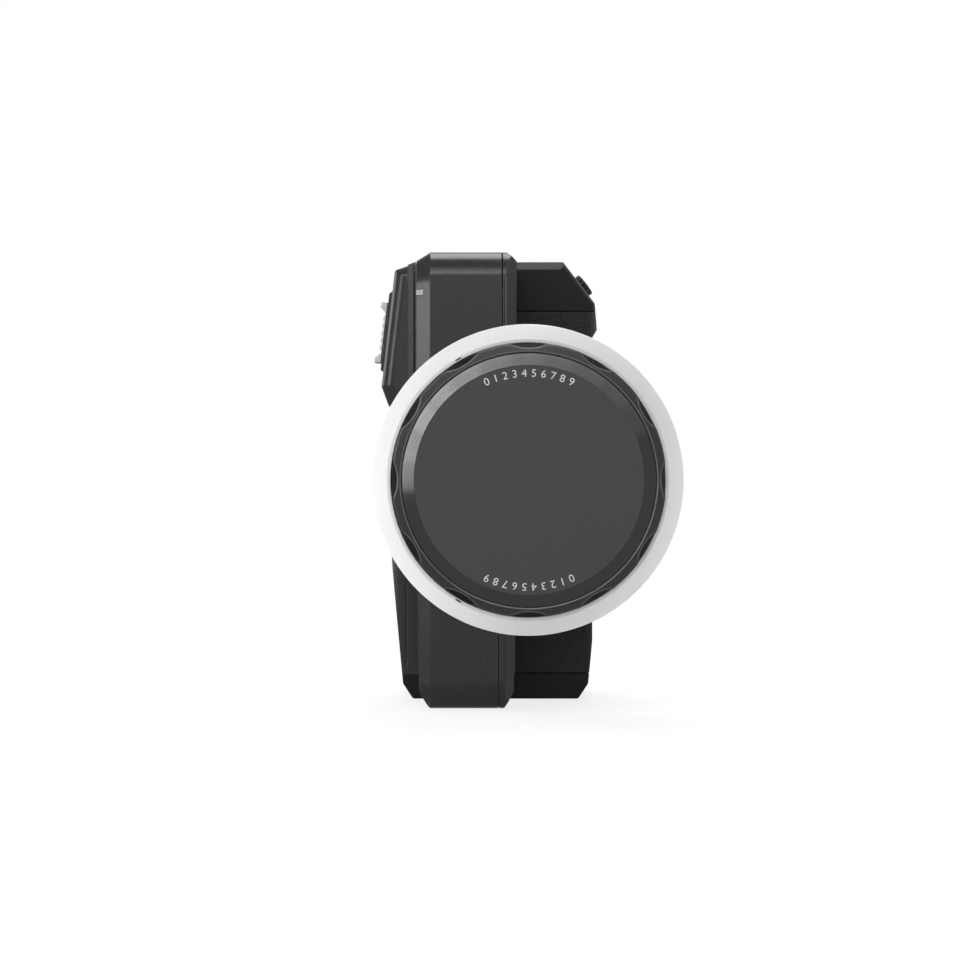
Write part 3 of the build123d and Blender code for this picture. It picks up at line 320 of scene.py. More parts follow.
# finishes: colour range, edge colour and its share, roughness range, gloss, grain and its strength; what a finish
# doesn't name comes from the common values. The edge colour stands for worn edges, and on the shell paint, black
# plastic and knob metal it is a painted highlight along the edges
common = {"metal": 0.0, "specular": 0.5, "tint": rgba(1, 1, 1), "drift": 70.0, "depth": 0.0002,
          "edgeWidth": 0.00035, "reach": 6.0}
finishes = {
    # shell paint: the lighter edge colour is a painted highlight along the edges
    "shell_paint": {"low": grey(0.025), "high": grey(0.039), "edge": grey(0.13), "wearAndHighlight": 0.6, "metal": 0.75,
                    "tint": grey(0.42, 0), "rough": (0.2, 0.28), "specular": 0.18, "grain": 3600.0, "bump": 0.09},
    # black plastic: the lighter edge colour is a painted highlight along the edges
    "black_plastic": {"low": grey(0.009), "high": grey(0.012), "edge": grey(0.07), "wearAndHighlight": 0.5,
                      "rough": (0.34, 0.42), "specular": 0.11, "grain": 3200.0, "bump": 0.03, "edgeWidth": 0.0006},
    "dark_plastic": {"low": grey(0.008), "high": grey(0.012), "edge": grey(0.03), "wearAndHighlight": 0.25,
                     "rough": (0.42, 0.55), "specular": 0.25, "grain": 4200.0, "bump": 0.08},
    "ring_white": {"low": grey(0.76, 0), "high": grey(0.80, 0), "edge": grey(0.83, 0), "wearAndHighlight": 0.3,
                   "rough": (0.4, 0.48), "specular": 0.25, "grain": 3800.0, "bump": 0.03},
    "index_white": {"low": grey(0.30, 0), "high": grey(0.36, 0), "edge": grey(0.5, 0), "wearAndHighlight": 0.2,
                    "rough": (0.45, 0.55), "specular": 0.3, "grain": 4200.0, "bump": 0.05},
    "silver": {"low": grey(0.34), "high": grey(0.42), "edge": grey(0.5), "metal": 1.0, "wearAndHighlight": 0.4,
               "rough": (0.34, 0.44), "grain": 5200.0, "bump": 0.05},
    "steel": {"low": grey(0.48), "high": grey(0.58), "edge": grey(0.7), "metal": 1.0, "wearAndHighlight": 0.4,
              "rough": (0.26, 0.38), "grain": 3600.0, "bump": 0.06},
    "magnet": {"low": grey(0.5, 0.04), "high": grey(0.58, 0.03), "edge": grey(0.66, 0.03), "metal": 1.0,
               "wearAndHighlight": 0.3, "rough": (0.14, 0.22), "grain": 2600.0, "bump": 0.02},
    "copper": {"low": rgba(0.45, 0.17, 0.06), "high": rgba(0.6, 0.26, 0.1), "edge": rgba(0.72, 0.36, 0.16),
               "metal": 1.0, "wearAndHighlight": 0.3, "rough": (0.25, 0.35), "grain": 6000.0, "bump": 0.2},
    "board": {"low": rgba(0.008, 0.07, 0.03), "high": rgba(0.014, 0.1, 0.045), "edge": rgba(0.2, 0.17, 0.08),
              "wearAndHighlight": 0.6, "rough": (0.3, 0.42), "specular": 0.5, "grain": 2200.0, "bump": 0.05},
    "chip": {"low": grey(0.010), "high": grey(0.017), "edge": grey(0.04), "wearAndHighlight": 0.2,
             "rough": (0.5, 0.6), "specular": 0.35, "grain": 4800.0, "bump": 0.06},
    "cell_wrap": {"low": rgba(0.02, 0.05, 0.16), "high": rgba(0.03, 0.07, 0.2), "edge": rgba(0.1, 0.14, 0.26),
                  "wearAndHighlight": 0.2, "rough": (0.22, 0.3), "specular": 0.5, "grain": 900.0, "bump": 0.04},
    "brass": {"low": rgba(0.55, 0.36, 0.12), "high": rgba(0.68, 0.47, 0.18), "edge": rgba(0.8, 0.6, 0.28),
              "metal": 1.0, "wearAndHighlight": 0.4, "rough": (0.24, 0.34), "grain": 3600.0, "bump": 0.06},
    # knob metal: the lighter edge colour is a painted highlight along the scallops' edges
    "knob_metal": {"low": grey(0.032), "high": grey(0.044), "edge": grey(0.26, 0), "wearAndHighlight": 0.7, "metal": 1.0,
                   "tint": grey(0.3, 0), "rough": (0.32, 0.4), "grain": 5600.0, "bump": 0.05,
                   "edgeWidth": 0.0006, "reach": 14.0},
    "print_grey": {"low": grey(0.50, 0), "high": grey(0.56, 0), "edge": grey(0.6, 0), "wearAndHighlight": 0.1,
                   "rough": (0.5, 0.6), "specular": 0.3, "grain": 6000.0, "bump": 0.02},
    "mark_black": {"low": grey(0.02), "high": grey(0.03), "edge": grey(0.04), "wearAndHighlight": 0.1,
                   "rough": (0.5, 0.6), "specular": 0.3, "grain": 6000.0, "bump": 0.02},
    "screw_black": {"low": grey(0.016), "high": grey(0.03), "edge": grey(0.14, 0), "wearAndHighlight": 0.5,
                    "rough": (0.3, 0.42), "specular": 0.4, "grain": 3600.0, "bump": 0.08},
}


def finishMaterial(name, changes):
    spec = {**common, **changes}
    material, tree, shader = newMaterial(name, Metallic=spec["metal"], Specular_IOR_Level=spec["specular"],
                                         Specular_Tint=spec["tint"])
    grain = useGroup(tree, fineGrain, Scale=spec["grain"], Drift=spec["drift"])
    edge = useGroup(tree, softEdge, Radius=spec["edgeWidth"], Reach=spec["reach"])
    paint = blendColor(tree, grain.outputs["Shade"], spec["low"], spec["high"])
    # edges blend towards the edge colour: wear, and on some finishes a painted highlight along the edges
    wearAndHighlightMask = maths(tree, "MULTIPLY", edge.outputs["Mask"], spec["wearAndHighlight"])
    bump = put(tree, "ShaderNodeBump", Strength=spec["bump"], Distance=spec["depth"])
    join(tree, (blendColor(tree, wearAndHighlightMask, paint, spec["edge"]), shader.inputs["Base Color"]),
         (grain.outputs["Height"], bump.inputs["Height"]), (edge.outputs["Normal"], bump.inputs["Normal"]),
         (bump.outputs[0], shader.inputs["Normal"]),
         (spread(tree, grain.outputs["Shade"], *spec["rough"]), shader.inputs["Roughness"]))
    return material


# rubber wrap with a leather grain; the darker colour in the creases between the pebbles is painted shade
gripSkin = {"low": grey(0.010), "high": grey(0.017), "creaseShade": grey(0.006), "rough": (0.48, 0.6),
            "specular": 0.26, "cell": 1050.0, "wrinkle": 0.3, "bump": 0.4, "depth": 0.0003,
            "grain": 5200.0, "drift": 90.0, "edgeWidth": 0.0005}


def gripMaterial():
    material, tree, shader = newMaterial("leatherRubber", Specular_IOR_Level=gripSkin["specular"])
    hide = useGroup(tree, pebbledHide, Scale=gripSkin["cell"], Wrinkle=gripSkin["wrinkle"])
    grain = useGroup(tree, fineGrain, Scale=gripSkin["grain"], Drift=gripSkin["drift"])
    edge = useGroup(tree, softEdge, Radius=gripSkin["edgeWidth"])
    base = blendColor(tree, grain.outputs["Shade"], gripSkin["low"], gripSkin["high"])
    bump = put(tree, "ShaderNodeBump", Strength=gripSkin["bump"], Distance=gripSkin["depth"])
    # the creases between the pebbles are darkened: painted shade
    join(tree, (blendColor(tree, hide.outputs["Crease"], base, gripSkin["creaseShade"]), shader.inputs["Base Color"]),
         (hide.outputs["Height"], bump.inputs["Height"]), (edge.outputs["Normal"], bump.inputs["Normal"]),
         (bump.outputs[0], shader.inputs["Normal"]),
         (spread(tree, grain.outputs["Shade"], *gripSkin["rough"]), shader.inputs["Roughness"]))
    return material


# anodised knob face: a matt flat and a satin bevel, parted by radius
knobSkin = {"flatEdge": 0.03052, "flatLow": grey(0.040), "flatHigh": grey(0.049), "satin": grey(0.042),
            "satinRough": 0.15, "flatRough": 0.62, "specular": 0.2, "bump": 0.12, "depth": 0.0001,
            "spunShare": 0.3, "pitch": 9000.0, "grain": 6500.0, "drift": 30.0}


def knobFaceMaterial():
    material, tree, shader = newMaterial("anodisedFace", Specular_IOR_Level=knobSkin["specular"])
    grain = useGroup(tree, fineGrain, Scale=knobSkin["grain"], Drift=knobSkin["drift"])
    spun = useGroup(tree, spunMarks, Pitch=knobSkin["pitch"])
    outer = maths(tree, "GREATER_THAN", spun.outputs["Radius"], knobSkin["flatEdge"])
    flat = blendColor(tree, grain.outputs["Shade"], knobSkin["flatLow"], knobSkin["flatHigh"])
    relief = put(tree, "ShaderNodeMix", {"data_type": "FLOAT"})
    bump = put(tree, "ShaderNodeBump", Strength=knobSkin["bump"], Distance=knobSkin["depth"])
    join(tree, (blendColor(tree, outer, flat, knobSkin["satin"]), shader.inputs["Base Color"]),
         (outer, shader.inputs["Metallic"]), (outer, relief.inputs[0]),
         (grain.outputs["Height"], relief.inputs[2]),
         (maths(tree, "MULTIPLY", spun.outputs["Height"], knobSkin["spunShare"]), relief.inputs[3]),
         (relief.outputs[0], bump.inputs["Height"]), (bump.outputs[0], shader.inputs["Normal"]),
         (spread(tree, outer, knobSkin["flatRough"], knobSkin["satinRough"]), shader.inputs["Roughness"]))
    return material


# display: clear cover glass over a dark panel, whose picture area is a shade bluer and has fine pixel rows
screen = {"middle": (-24.0, 106.05), "half": (9.6, 8.6), "ink": grey(0.004), "glass": (grey(0.5), grey(0.56)),
          "panelLow": rgba(0.012, 0.014, 0.018), "panelHigh": rgba(0.017, 0.02, 0.026), "pitch": 700.0,
          "panelSpecular": 0.3, "inkRough": 0.5, "panelRough": 0.25, "index": 1.5, "glassRough": (0.0, 0.05),
          "glassGrain": 160.0, "glassDrift": 40.0}


def glassMaterial():
    material, tree, shader = newMaterial("coverGlass", Transmission_Weight=1.0, IOR=screen["index"])
    grain = useGroup(tree, fineGrain, Scale=screen["glassGrain"], Drift=screen["glassDrift"])
    join(tree, (blendColor(tree, grain.outputs["Shade"], *screen["glass"]), shader.inputs["Base Color"]),
         (spread(tree, grain.outputs["Shade"], *screen["glassRough"]), shader.inputs["Roughness"]))
    return material


def screenMaterial():
    material, tree, shader = newMaterial("displayPanel", Specular_IOR_Level=screen["panelSpecular"])
    place = put(tree, "ShaderNodeTexCoord")
    split = put(tree, "ShaderNodeSeparateXYZ")
    tree.links.new(place.outputs["Object"], split.inputs[0])
    masks = []
    for axis, middle, half in zip("YZ", screen["middle"], screen["half"]):
        off = maths(tree, "SUBTRACT", split.outputs[axis], middle * mm)
        masks.append(maths(tree, "LESS_THAN", maths(tree, "ABSOLUTE", off, 0.0), half * mm))
    inside = maths(tree, "MULTIPLY", *masks)
    rows = put(tree, "ShaderNodeTexWave", {"bands_direction": "Z"}, Scale=screen["pitch"])
    tree.links.new(place.outputs["Object"], rows.inputs["Vector"])
    lit = blendColor(tree, rows.outputs["Fac"], screen["panelLow"], screen["panelHigh"])
    join(tree, (blendColor(tree, inside, screen["ink"], lit), shader.inputs["Base Color"]),
         (spread(tree, inside, screen["inkRough"], screen["panelRough"]), shader.inputs["Roughness"]))
    return material


materials = {slot: finishMaterial(slot, spec) for slot, spec in finishes.items()}
materials["grip_rubber"] = gripMaterial()
materials["knob_face"] = knobFaceMaterial()
materials["display_glass"] = glassMaterial()
materials["display_panel"] = screenMaterial()
slotOf = {part["node"]: part["material_slot"] for part in frame["record"]["subparts"]}
slotOf.update(knob_face="knob_face", display_module="display_panel")
for nodeName, node in nodes.items():
    node.data.materials.clear()
    node.data.materials.append(materials[slotOf[nodeName]])
print("materials ready")


# work planes: a place is given along the plane, up it and out of it, in millimetres
def workPlane(origin, across, out):
    across, out = Vector(across).normalized(), Vector(out).normalized()
    return {"origin": Vector(origin), "across": across, "up": out.cross(across), "out": out}


def movedPlane(plane, along, rise, lift=0.0):
    spot = plane["origin"] + plane["across"] * along + plane["up"] * rise + plane["out"] * lift
    return {**plane, "origin": spot}


def onPlane(plane, along, rise, lift):
    return tuple(movedPlane(plane, along, rise, lift)["origin"] * mm)


places = {  # origin, direction across, direction out
    "knob": ((8.5, -54.0, 63.5), (1, 0, 0), (0, -1, 0)),
    "thumb": ((-30.33, 0.0, 106.05), (0, -1, 0), (-32.7, 0, 3.74)),
    "slope": ((24.3, 4.0, 121.05), (0, 1, 0), (11.9, 0, 9.1)),
    "port": ((-20.8, -32.0, 30.0), (0, -1, 0), (-1, 0, 0)),
    "base": ((0, 0, 0), (1, 0, 0), (0, 0, -1)),
}
knobPlane, thumbPlane, slopePlane, portPlane, basePlane = [workPlane(*place) for place in places.values()]
meshing = {"weld": 1e-7, "barRim": 0.12}  # weld distance in metres, chamfer as a share of a bar's width


def roundedLoop(points, radii, steps=5):  # outline with its corners rounded
    loop, count = [], len(points)
    for index, (corner, radius) in enumerate(zip(points, radii)):
        here = Vector(corner)
        if not radius:
            loop.append(tuple(here))
            continue
        back = (Vector(points[index - 1]) - here).normalized()
        ahead = (Vector(points[(index + 1) % count]) - here).normalized()
        opening = back.angle(ahead)
        reach = radius / math.tan(opening / 2)
        middle = here + (back + ahead).normalized() * radius / math.sin(opening / 2)
        start, end = here + back * reach - middle, here + ahead * reach - middle
        sweep = start.angle_signed(end)
        for step in range(steps + 1):
            turn = Matrix.Rotation(-sweep * step / steps, 2)
            loop.append(tuple(middle + turn @ start))
    return loop


def meshPiece(name, points, faces, finish, body, sharp=35.0):
    mesh = bpy.data.meshes.new(name)
    build = bmesh.new()
    corners = [build.verts.new(point) for point in points]
    for face in faces:
        build.faces.new([corners[index] for index in face])
    bmesh.ops.remove_doubles(build, verts=build.verts, dist=meshing["weld"])
    bmesh.ops.recalc_face_normals(build, faces=build.faces)
    build.to_mesh(mesh)
    build.free()
    for polygon in mesh.polygons:
        polygon.use_smooth = True
    mesh.set_sharp_from_angle(angle=math.radians(sharp))
    mesh.materials.append(materials[finish])
    piece = bpy.data.objects.new(name, mesh)
    bpy.context.scene.collection.objects.link(piece)
    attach(piece, body)
    return piece


def turnedPiece(name, plane, loop, finish, body, steps=96, closed=False, reshape=None):
    points, faces, count = [], [], len(loop)
    for step in range(steps):
        angle = 2 * math.pi * step / steps
        for radius, lift in loop:
            shaped = reshape(radius, angle, lift) if reshape else radius
            points.append(onPlane(plane, shaped * math.cos(angle), shaped * math.sin(angle), lift))
    for step in range(steps):
        here, after = step * count, (step + 1) % steps * count
        for index in range(count if closed else count - 1):
            beside = (index + 1) % count
            faces.append((here + index, here + beside, after + beside, after + index))
    return meshPiece(name, points, faces, finish, body)


def merged(meshes):  # several point and face lists as one
    points, faces = [], []
    for morePoints, moreFaces in meshes:
        start = len(points)
        points += morePoints
        faces += [tuple(index + start for index in face) for face in moreFaces]
    return points, faces


def barMesh(plane, length, width, low, high):  # a small bar with a chamfered top
    rim = min(length, width) * meshing["barRim"]
    layers = [(0.0, low), (0.0, high - rim / 2), (rim, high)]
    points, faces = [], []
    for inset, lift in layers:
        long, wide = length / 2 - inset, width / 2 - inset
        for along, rise in ((-long, -wide), (long, -wide), (long, wide), (-long, wide)):
            points.append(onPlane(plane, along, rise, lift))
    for layer in (0, 4):
        for side in range(4):
            beside = (side + 1) % 4
            faces.append((layer + side, layer + beside, layer + beside + 4, layer + side + 4))
    return points, faces + [(3, 2, 1, 0), (8, 9, 10, 11)]


# grip of the knob: a sloping rim with thumb scallops that run out below it; heights are from the spine's panel
knobGrip = {"radius": 36.6, "flange": 39.6, "lift": 4.9, "seat": 7.1, "rimTop": 26.4, "rimFall": 0.6, "rimRound": 0.5,
            "inner": 34.05, "web": 25.8, "webRear": 24.2, "bore": 33.0, "rotorBore": 32.0, "step": 9.2,
            "shaft": 5.02, "scallops": 12, "scallopRadius": 13.0, "scallopDepth": 1.6, "scallopTilt": 15.0,
            "scallopFoot": 19.0, "rows": 16, "steps": 720, "cornerHold": 0.6, "mouthHold": 0.2, "mouthRound": 0.12,
            "flangeRounds": (0.3, 0.3, 0.2), "roundSteps": 6}


def scalloped(radius, angle, lift):
    g = knobGrip
    if lift < g["scallopFoot"] or radius < g["inner"]:
        return radius
    pitch = 2 * math.pi / g["scallops"]
    off = (angle + pitch / 2) % pitch - pitch / 2
    far = g["radius"] - g["scallopDepth"] + g["scallopRadius"]
    far += (g["rimTop"] - lift) * math.tan(math.radians(g["scallopTilt"]))
    across = far * math.sin(off)
    if abs(across) >= g["scallopRadius"]:
        return radius
    return min(radius, far * math.cos(off) - math.sqrt(g["scallopRadius"] ** 2 - across ** 2))


def makeKnobGrip():
    g = knobGrip
    corner = g["rimTop"] - g["rimFall"]
    low = [(g["bore"], g["lift"]), (g["flange"], g["lift"]), (g["flange"], g["seat"]), (g["radius"], g["seat"])]
    wall, rim = [], []
    rimOuter, rimInner = g["radius"] - g["cornerHold"], g["inner"] + g["mouthHold"]
    fall = g["rimFall"] / (g["radius"] - g["inner"])
    for row in range(g["rows"]):
        share = row / (g["rows"] - 1)
        radius = rimOuter - (rimOuter - rimInner) * share
        wall.append((g["radius"], g["scallopFoot"] + (corner - g["cornerHold"] - g["scallopFoot"]) * share))
        rim.append((radius, corner + (g["radius"] - radius) * fall))
    high = [(g["inner"], g["rimTop"]), (g["inner"], g["web"]), (g["shaft"], g["web"]), (g["shaft"], g["webRear"]),
            (g["rotorBore"], g["webRear"]), (g["rotorBore"], g["step"]), (g["bore"], g["step"])]
    points = low + wall + [(g["radius"], corner)] + rim + high
    plain = [0] * g["rows"]
    radii = [0, *g["flangeRounds"], *plain, g["rimRound"], *plain, g["mouthRound"]]
    radii += [0] * (len(points) - len(radii))
    loop = roundedLoop(points, radii, g["roundSteps"])
    piece = turnedPiece("knobGrip", knobPlane, loop, "knob_metal", "knob", g["steps"], True, scalloped)
    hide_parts("knob_grip")


# face disc with its satin bevel; the hold is where edge loops keep the bevel flat
knobFace = {"radius": 33.8, "rear": 25.8, "bevelFoot": 26.3, "flat": 30.55, "front": 27.98, "hold": 0.06,
            "rearRound": 0.1, "footRound": 0.15, "crestRound": 0.2, "roundSteps": 4, "steps": 360}


def makeKnobFace():
    f = knobFace
    foot, crest = Vector((f["radius"], f["bevelFoot"])), Vector((f["flat"], f["front"]))
    points = [(0, f["rear"]), (f["radius"], f["rear"]), tuple(foot), tuple(foot.lerp(crest, f["hold"])),
              tuple(crest.lerp(foot, f["hold"])), tuple(crest), (f["flat"] - f["hold"], f["front"]), (0, f["front"])]
    radii = [0, f["rearRound"], f["footRound"], 0, 0, f["crestRound"], 0, 0]
    loop = roundedLoop(points, radii, f["roundSteps"])
    piece = turnedPiece("knobFace", knobPlane, loop, "knob_face", "knob", f["steps"])
    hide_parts("knob_face")


# plain dial numbers on two arcs of the face, each read from its own side
dial = {"radius": 27.4, "size": 2.9, "pitchDegrees": 5.2, "count": 10, "arcs": (90.0, 270.0), "lift": 27.995,
        "curveSteps": 6}


def numberMesh(text):
    curve = bpy.data.curves.new("dialNumber", "FONT")
    curve.body = text
    curve.size = dial["size"]
    curve.align_x = "CENTER"
    curve.resolution_u = dial["curveSteps"]
    holder = bpy.data.objects.new("dialNumber", curve)
    mesh = bpy.data.meshes.new_from_object(holder)
    points = [tuple(vertex.co) for vertex in mesh.vertices]
    faces = [tuple(polygon.vertices) for polygon in mesh.polygons]
    bpy.data.objects.remove(holder)
    bpy.data.curves.remove(curve)
    bpy.data.meshes.remove(mesh)
    return points, faces


def makeDialNumbers():
    meshes = []
    glyphs = [numberMesh(str(number)) for number in range(dial["count"])]
    for arc in dial["arcs"]:
        for number, (points, faces) in enumerate(glyphs):
            angle = math.radians(arc - (number - (dial["count"] - 1) / 2) * dial["pitchDegrees"])
            placed = []
            for along, rise, _ in points:
                out, turn = dial["radius"] + rise, angle - along / dial["radius"]
                placed.append(onPlane(knobPlane, out * math.cos(turn), out * math.sin(turn), dial["lift"]))
            meshes.append((placed, faces))
    piece = meshPiece("dialNumbers", *merged(meshes), "print_grey", "knob")


# white marking ring: a cone outside, a small bead round its bore, and two inlaid marks on the bead
ringForm = {"outer": 42.5, "bore": 37.3, "seat": 7.1, "lipTop": 11.0, "beadWidth": 1.15, "beadRise": 0.16,
            "coneDrop": 3.0, "rear": 4.9, "edge": 0.6, "rim": 39.75, "steps": 360,
            "beadStep": 0.02, "rounds": (0, 0.2, 0.12, 0, 0.35, 0.2, 0.2, 0.1, 0),
            "markAngles": (120.0, 240.0), "markLength": 1.8, "markWidth": 0.5, "markLow": 10.795, "markHigh": 11.005}


def makeRing():
    r = ringForm
    bead = r["bore"] + r["beadWidth"]
    points = [(r["bore"], r["seat"]), (r["bore"], r["lipTop"]), (bead, r["lipTop"]),
              (bead + r["beadStep"], r["lipTop"] - r["beadRise"]), (r["outer"], r["lipTop"] - r["coneDrop"]),
              (r["outer"], r["rear"] + r["edge"]), (r["outer"] - r["edge"], r["rear"]), (r["rim"], r["rear"]),
              (r["rim"], r["seat"])]
    loop = roundedLoop(points, r["rounds"])
    piece = turnedPiece("markingRing", knobPlane, loop, "ring_white", "ring", r["steps"], True)
    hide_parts("marking_ring")


def makeRingMarks():
    r = ringForm
    middle = r["bore"] + r["beadWidth"] / 2
    for number, degrees in enumerate(r["markAngles"]):
        cosine, sine = math.cos(math.radians(degrees)), math.sin(math.radians(degrees))
        spot = movedPlane(knobPlane, middle * cosine, middle * sine)["origin"]
        plane = workPlane(spot, knobPlane["up"] * cosine - knobPlane["across"] * sine, knobPlane["out"])
        bar = barMesh(plane, r["markLength"], r["markWidth"], r["markLow"], r["markHigh"])
        piece = meshPiece("ringMark%d" % (number + 1), *bar, "mark_black", "ring")


makeKnobGrip()
makeKnobFace()
makeDialNumbers()
makeRing()
makeRingMarks()
print("knob and ring ready")

# saddle-shaped slider: two horns and a row of round ribs between them
slider = {"along": -8.0, "rise": 0.95, "half": 9.05, "halfWidth": 4.0, "foot": 2.8, "saddle": 0.38, "horn": 2.0,
          "hornTip": 1.4, "hornLength": 3.6, "ribs": 5, "ribRise": 0.52,
          "ribPower": 0.8, "hornPower": 1.7, "tipDrop": 0.1, "tipPower": 6,
          "edge": 0.2, "edgeSteps": 6, "steps": 180, "endFaces": 0.9, "sharp": 50.0}


def sliderRise(place):
    s = slider
    inner, far = s["half"] - s["hornLength"], abs(place)
    if far <= inner:
        wave = math.sin(math.pi * s["ribs"] * (place + inner) / (2 * inner))
        return s["saddle"] + s["ribRise"] * abs(wave) ** s["ribPower"]
    if far <= s["half"] - s["hornTip"]:
        share = (far - inner) / (s["hornLength"] - s["hornTip"])
        return s["saddle"] + (s["horn"] - s["saddle"]) * share ** s["hornPower"]
    past = (far - s["half"] + s["hornTip"]) / s["hornTip"]
    return s["horn"] - s["tipDrop"] * past ** s["tipPower"]


def makeSlider():
    s = slider
    plane = movedPlane(thumbPlane, s["along"], s["rise"])
    columns = []
    for step in range(s["edgeSteps"] + 1):  # one rounded side; the other is its mirror image
        turn = math.radians(90 * step / s["edgeSteps"])
        columns.append((s["halfWidth"] - s["edge"] * (1 - math.cos(turn)), s["edge"] * (math.sin(turn) - 1)))
    columns += [(-wide, drop) for wide, drop in reversed(columns)]
    points, faces, rows = [], [], s["steps"] + 3
    for wide, drop in columns:
        points.append(onPlane(plane, wide, -s["half"], s["foot"]))
        for step in range(s["steps"] + 1):
            place = s["half"] * (2 * step / s["steps"] - 1)
            points.append(onPlane(plane, wide, place, s["foot"] + sliderRise(place) + drop))
        points.append(onPlane(plane, wide, s["half"], s["foot"]))
    for column in range(len(columns) - 1):
        here, after = column * rows, (column + 1) * rows
        for row in range(rows - 1):
            faces.append((here + row, here + row + 1, after + row + 1, after + row))
        faces.append((here, after, after + rows - 1, here + rows - 1))
    last = (len(columns) - 1) * rows
    faces += [tuple(range(rows)), tuple(range(last, last + rows))]
    piece = meshPiece("sliderSaddle", points, faces, "silver", "slider", s["sharp"])
    piece.data.materials.append(materials["dark_plastic"])  # dark plastic on the horns' end faces: painted shade along the top of the upper horn and under the lower horn
    for polygon in piece.data.polygons:
        if abs(polygon.normal.dot(plane["up"])) > s["endFaces"]:
            polygon.material_index = 1
    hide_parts("slider_cap")


# index-finger button: dished top and a notched rim
trigger = {"rise": -1.0, "radius": 3.4, "top": 2.5, "dish": 0.5, "dishRadius": 2.4, "flange": 4.2,
           "flangeTop": -2.35, "flangeFoot": -3.25, "notches": 14, "notchDepth": 0.45, "notchFoot": 0.1,
           "notchStep": 0.02, "notchPower": 1.5, "rimRound": 0.35, "flangeRound": 0.1, "dishSteps": 10, "steps": 336}


def notched(radius, angle, lift):
    t = trigger
    if lift < t["notchFoot"] or radius < t["dishRadius"]:
        return radius
    wave = max(math.cos(angle * t["notches"]), 0) ** t["notchPower"]
    return radius - t["notchDepth"] * wave * (radius - t["dishRadius"]) / (t["radius"] - t["dishRadius"])


def makeTrigger():
    t = trigger
    shares = [step / t["dishSteps"] for step in range(t["dishSteps"])]
    dish = [(t["dishRadius"] * share, t["top"] - t["dish"] * (1 - share ** 2)) for share in shares]
    points = [(t["dishRadius"], t["top"]), (t["radius"], t["top"]), (t["radius"], t["notchFoot"] + t["notchStep"]),
              (t["radius"], t["notchFoot"] - t["notchStep"]), (t["radius"], t["flangeTop"]),
              (t["flange"], t["flangeTop"]), (t["flange"], t["flangeFoot"]), (0, t["flangeFoot"])]
    loop = dish + roundedLoop(points, [0, t["rimRound"], 0, 0, 0, t["flangeRound"], t["flangeRound"], 0])
    plane = movedPlane(slopePlane, 0, t["rise"])
    piece = turnedPiece("indexButton", plane, loop, "dark_plastic", "trigger", t["steps"], False, notched)
    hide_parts("trigger_button")


# three round keys with softly domed tops
keys = {"along": 4.5, "pitch": 9.0, "names": ("key_low", "key_middle", "key_high"), "radius": 2.6, "top": 0.35,
        "dome": 0.12, "domeSteps": 6, "edge": 0.3, "round": 0.22, "flange": 3.2, "flangeTop": -2.12,
        "flangeFoot": -2.92, "flangeRound": 0.1}


def makeKeys():
    k = keys
    inner, shoulder = k["radius"] - k["edge"], k["top"] - k["dome"]
    shares = [step / k["domeSteps"] for step in range(k["domeSteps"])]
    dome = [(inner * share, k["top"] - k["dome"] * share ** 2) for share in shares]
    points = [(inner, shoulder), (k["radius"], shoulder), (k["radius"], k["flangeTop"]), (k["flange"], k["flangeTop"]),
              (k["flange"], k["flangeFoot"]), (0, k["flangeFoot"])]
    loop = dome + roundedLoop(points, [0, k["round"], 0, k["flangeRound"], k["flangeRound"], 0])
    for number, name in enumerate(k["names"]):
        plane = movedPlane(thumbPlane, k["along"], (number - 1) * k["pitch"])
        piece = turnedPiece("roundKey%d" % (number + 1), plane, loop, "dark_plastic", name)
        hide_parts(name)


# contacts on both faces of the charging socket's tongue
contacts = {"count": 10, "pitch": 0.6, "width": 0.3, "length": 4.6, "depth": -3.5, "tongue": 0.4, "height": 0.02}


def makeContacts():
    c = contacts
    meshes = []
    for side in (-1, 1):
        spot = movedPlane(portPlane, 0, side * c["tongue"], c["depth"])["origin"]
        plane = workPlane(spot, portPlane["across"], portPlane["up"] * side)
        for number in range(c["count"]):
            place = movedPlane(plane, (number - (c["count"] - 1) / 2) * c["pitch"], 0)
            meshes.append(barMesh(place, c["width"], c["length"], -c["height"], c["height"]))
    piece = meshPiece("socketContacts", *merged(meshes), "brass", "body")


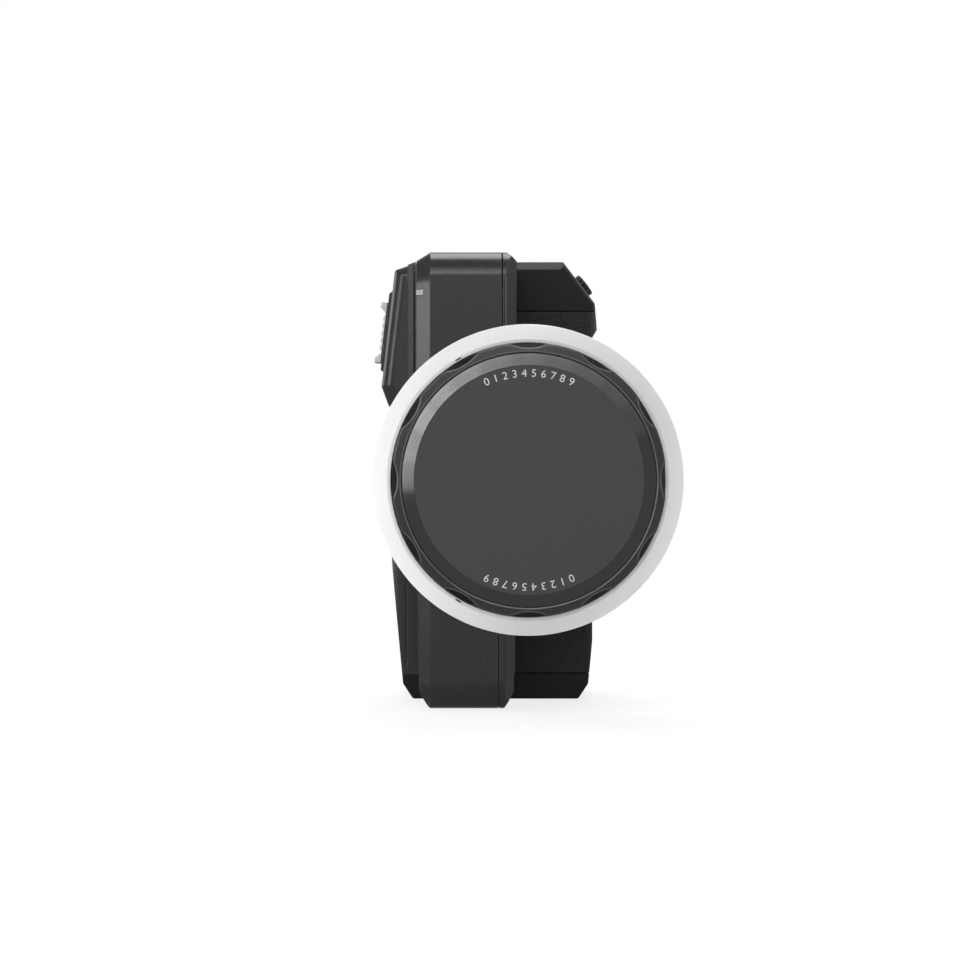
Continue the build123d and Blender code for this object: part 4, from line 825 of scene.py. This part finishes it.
# socket screws in the base's recesses; heights are measured down from the base, so inside is negative
baseScrews = {"spots": ((-22.4, 4.5), (22.4, 4.5), (-17.4, -20.4), (17.4, -20.4)), "radius": 2.3, "seat": -2.1,
              "top": -0.4, "chamfer": 0.25, "hexFlat": 1.25, "hexDepth": 1.1, "steps": 96}


def hexed(radius, angle, lift):
    if radius > baseScrews["hexFlat"]:
        return radius
    return radius / math.cos((angle + math.pi / 6) % (math.pi / 3) - math.pi / 6)


def makeBaseScrews():
    b = baseScrews
    floor = b["top"] - b["hexDepth"]
    loop = [(0, floor), (b["hexFlat"], floor), (b["hexFlat"], b["top"]), (b["radius"] - b["chamfer"], b["top"]),
            (b["radius"], b["top"] - b["chamfer"]), (b["radius"], b["seat"]), (0, b["seat"])]
    for number, (along, rise) in enumerate(b["spots"]):
        plane = movedPlane(basePlane, along, rise)
        piece = turnedPiece("baseScrew%d" % (number + 1), plane, loop, "screw_black", "body", b["steps"], False, hexed)


# helical ridge inside the base's threaded insert
thread = {"bore": 3.175, "crest": 2.72, "pitch": 1.27, "depth": 6.2, "root": 0.52, "flat": 0.1, "steps": 48}


def makeThread():
    t = thread
    steps = int((t["depth"] - 2 * t["root"]) / t["pitch"] * t["steps"])
    ridge = ((t["bore"], -t["root"]), (t["crest"], -t["flat"]), (t["crest"], t["flat"]), (t["bore"], t["root"]))
    points, faces = [], []
    for step in range(steps + 1):
        angle, depth = 2 * math.pi * step / t["steps"], t["root"] + t["pitch"] * step / t["steps"]
        for radius, off in ridge:
            points.append(onPlane(basePlane, radius * math.cos(angle), radius * math.sin(angle), -depth - off))
    for step in range(steps):
        for side in range(4):
            here, beside = step * 4 + side, step * 4 + (side + 1) % 4
            faces.append((here, beside, beside + 4, here + 4))
    faces += [(3, 2, 1, 0), tuple(steps * 4 + side for side in range(4))]
    piece = meshPiece("insertThread", points, faces, "brass", "body")


makeSlider()
makeTrigger()
makeKeys()
makeContacts()
makeBaseScrews()
makeThread()
print("controls, socket and base details ready")
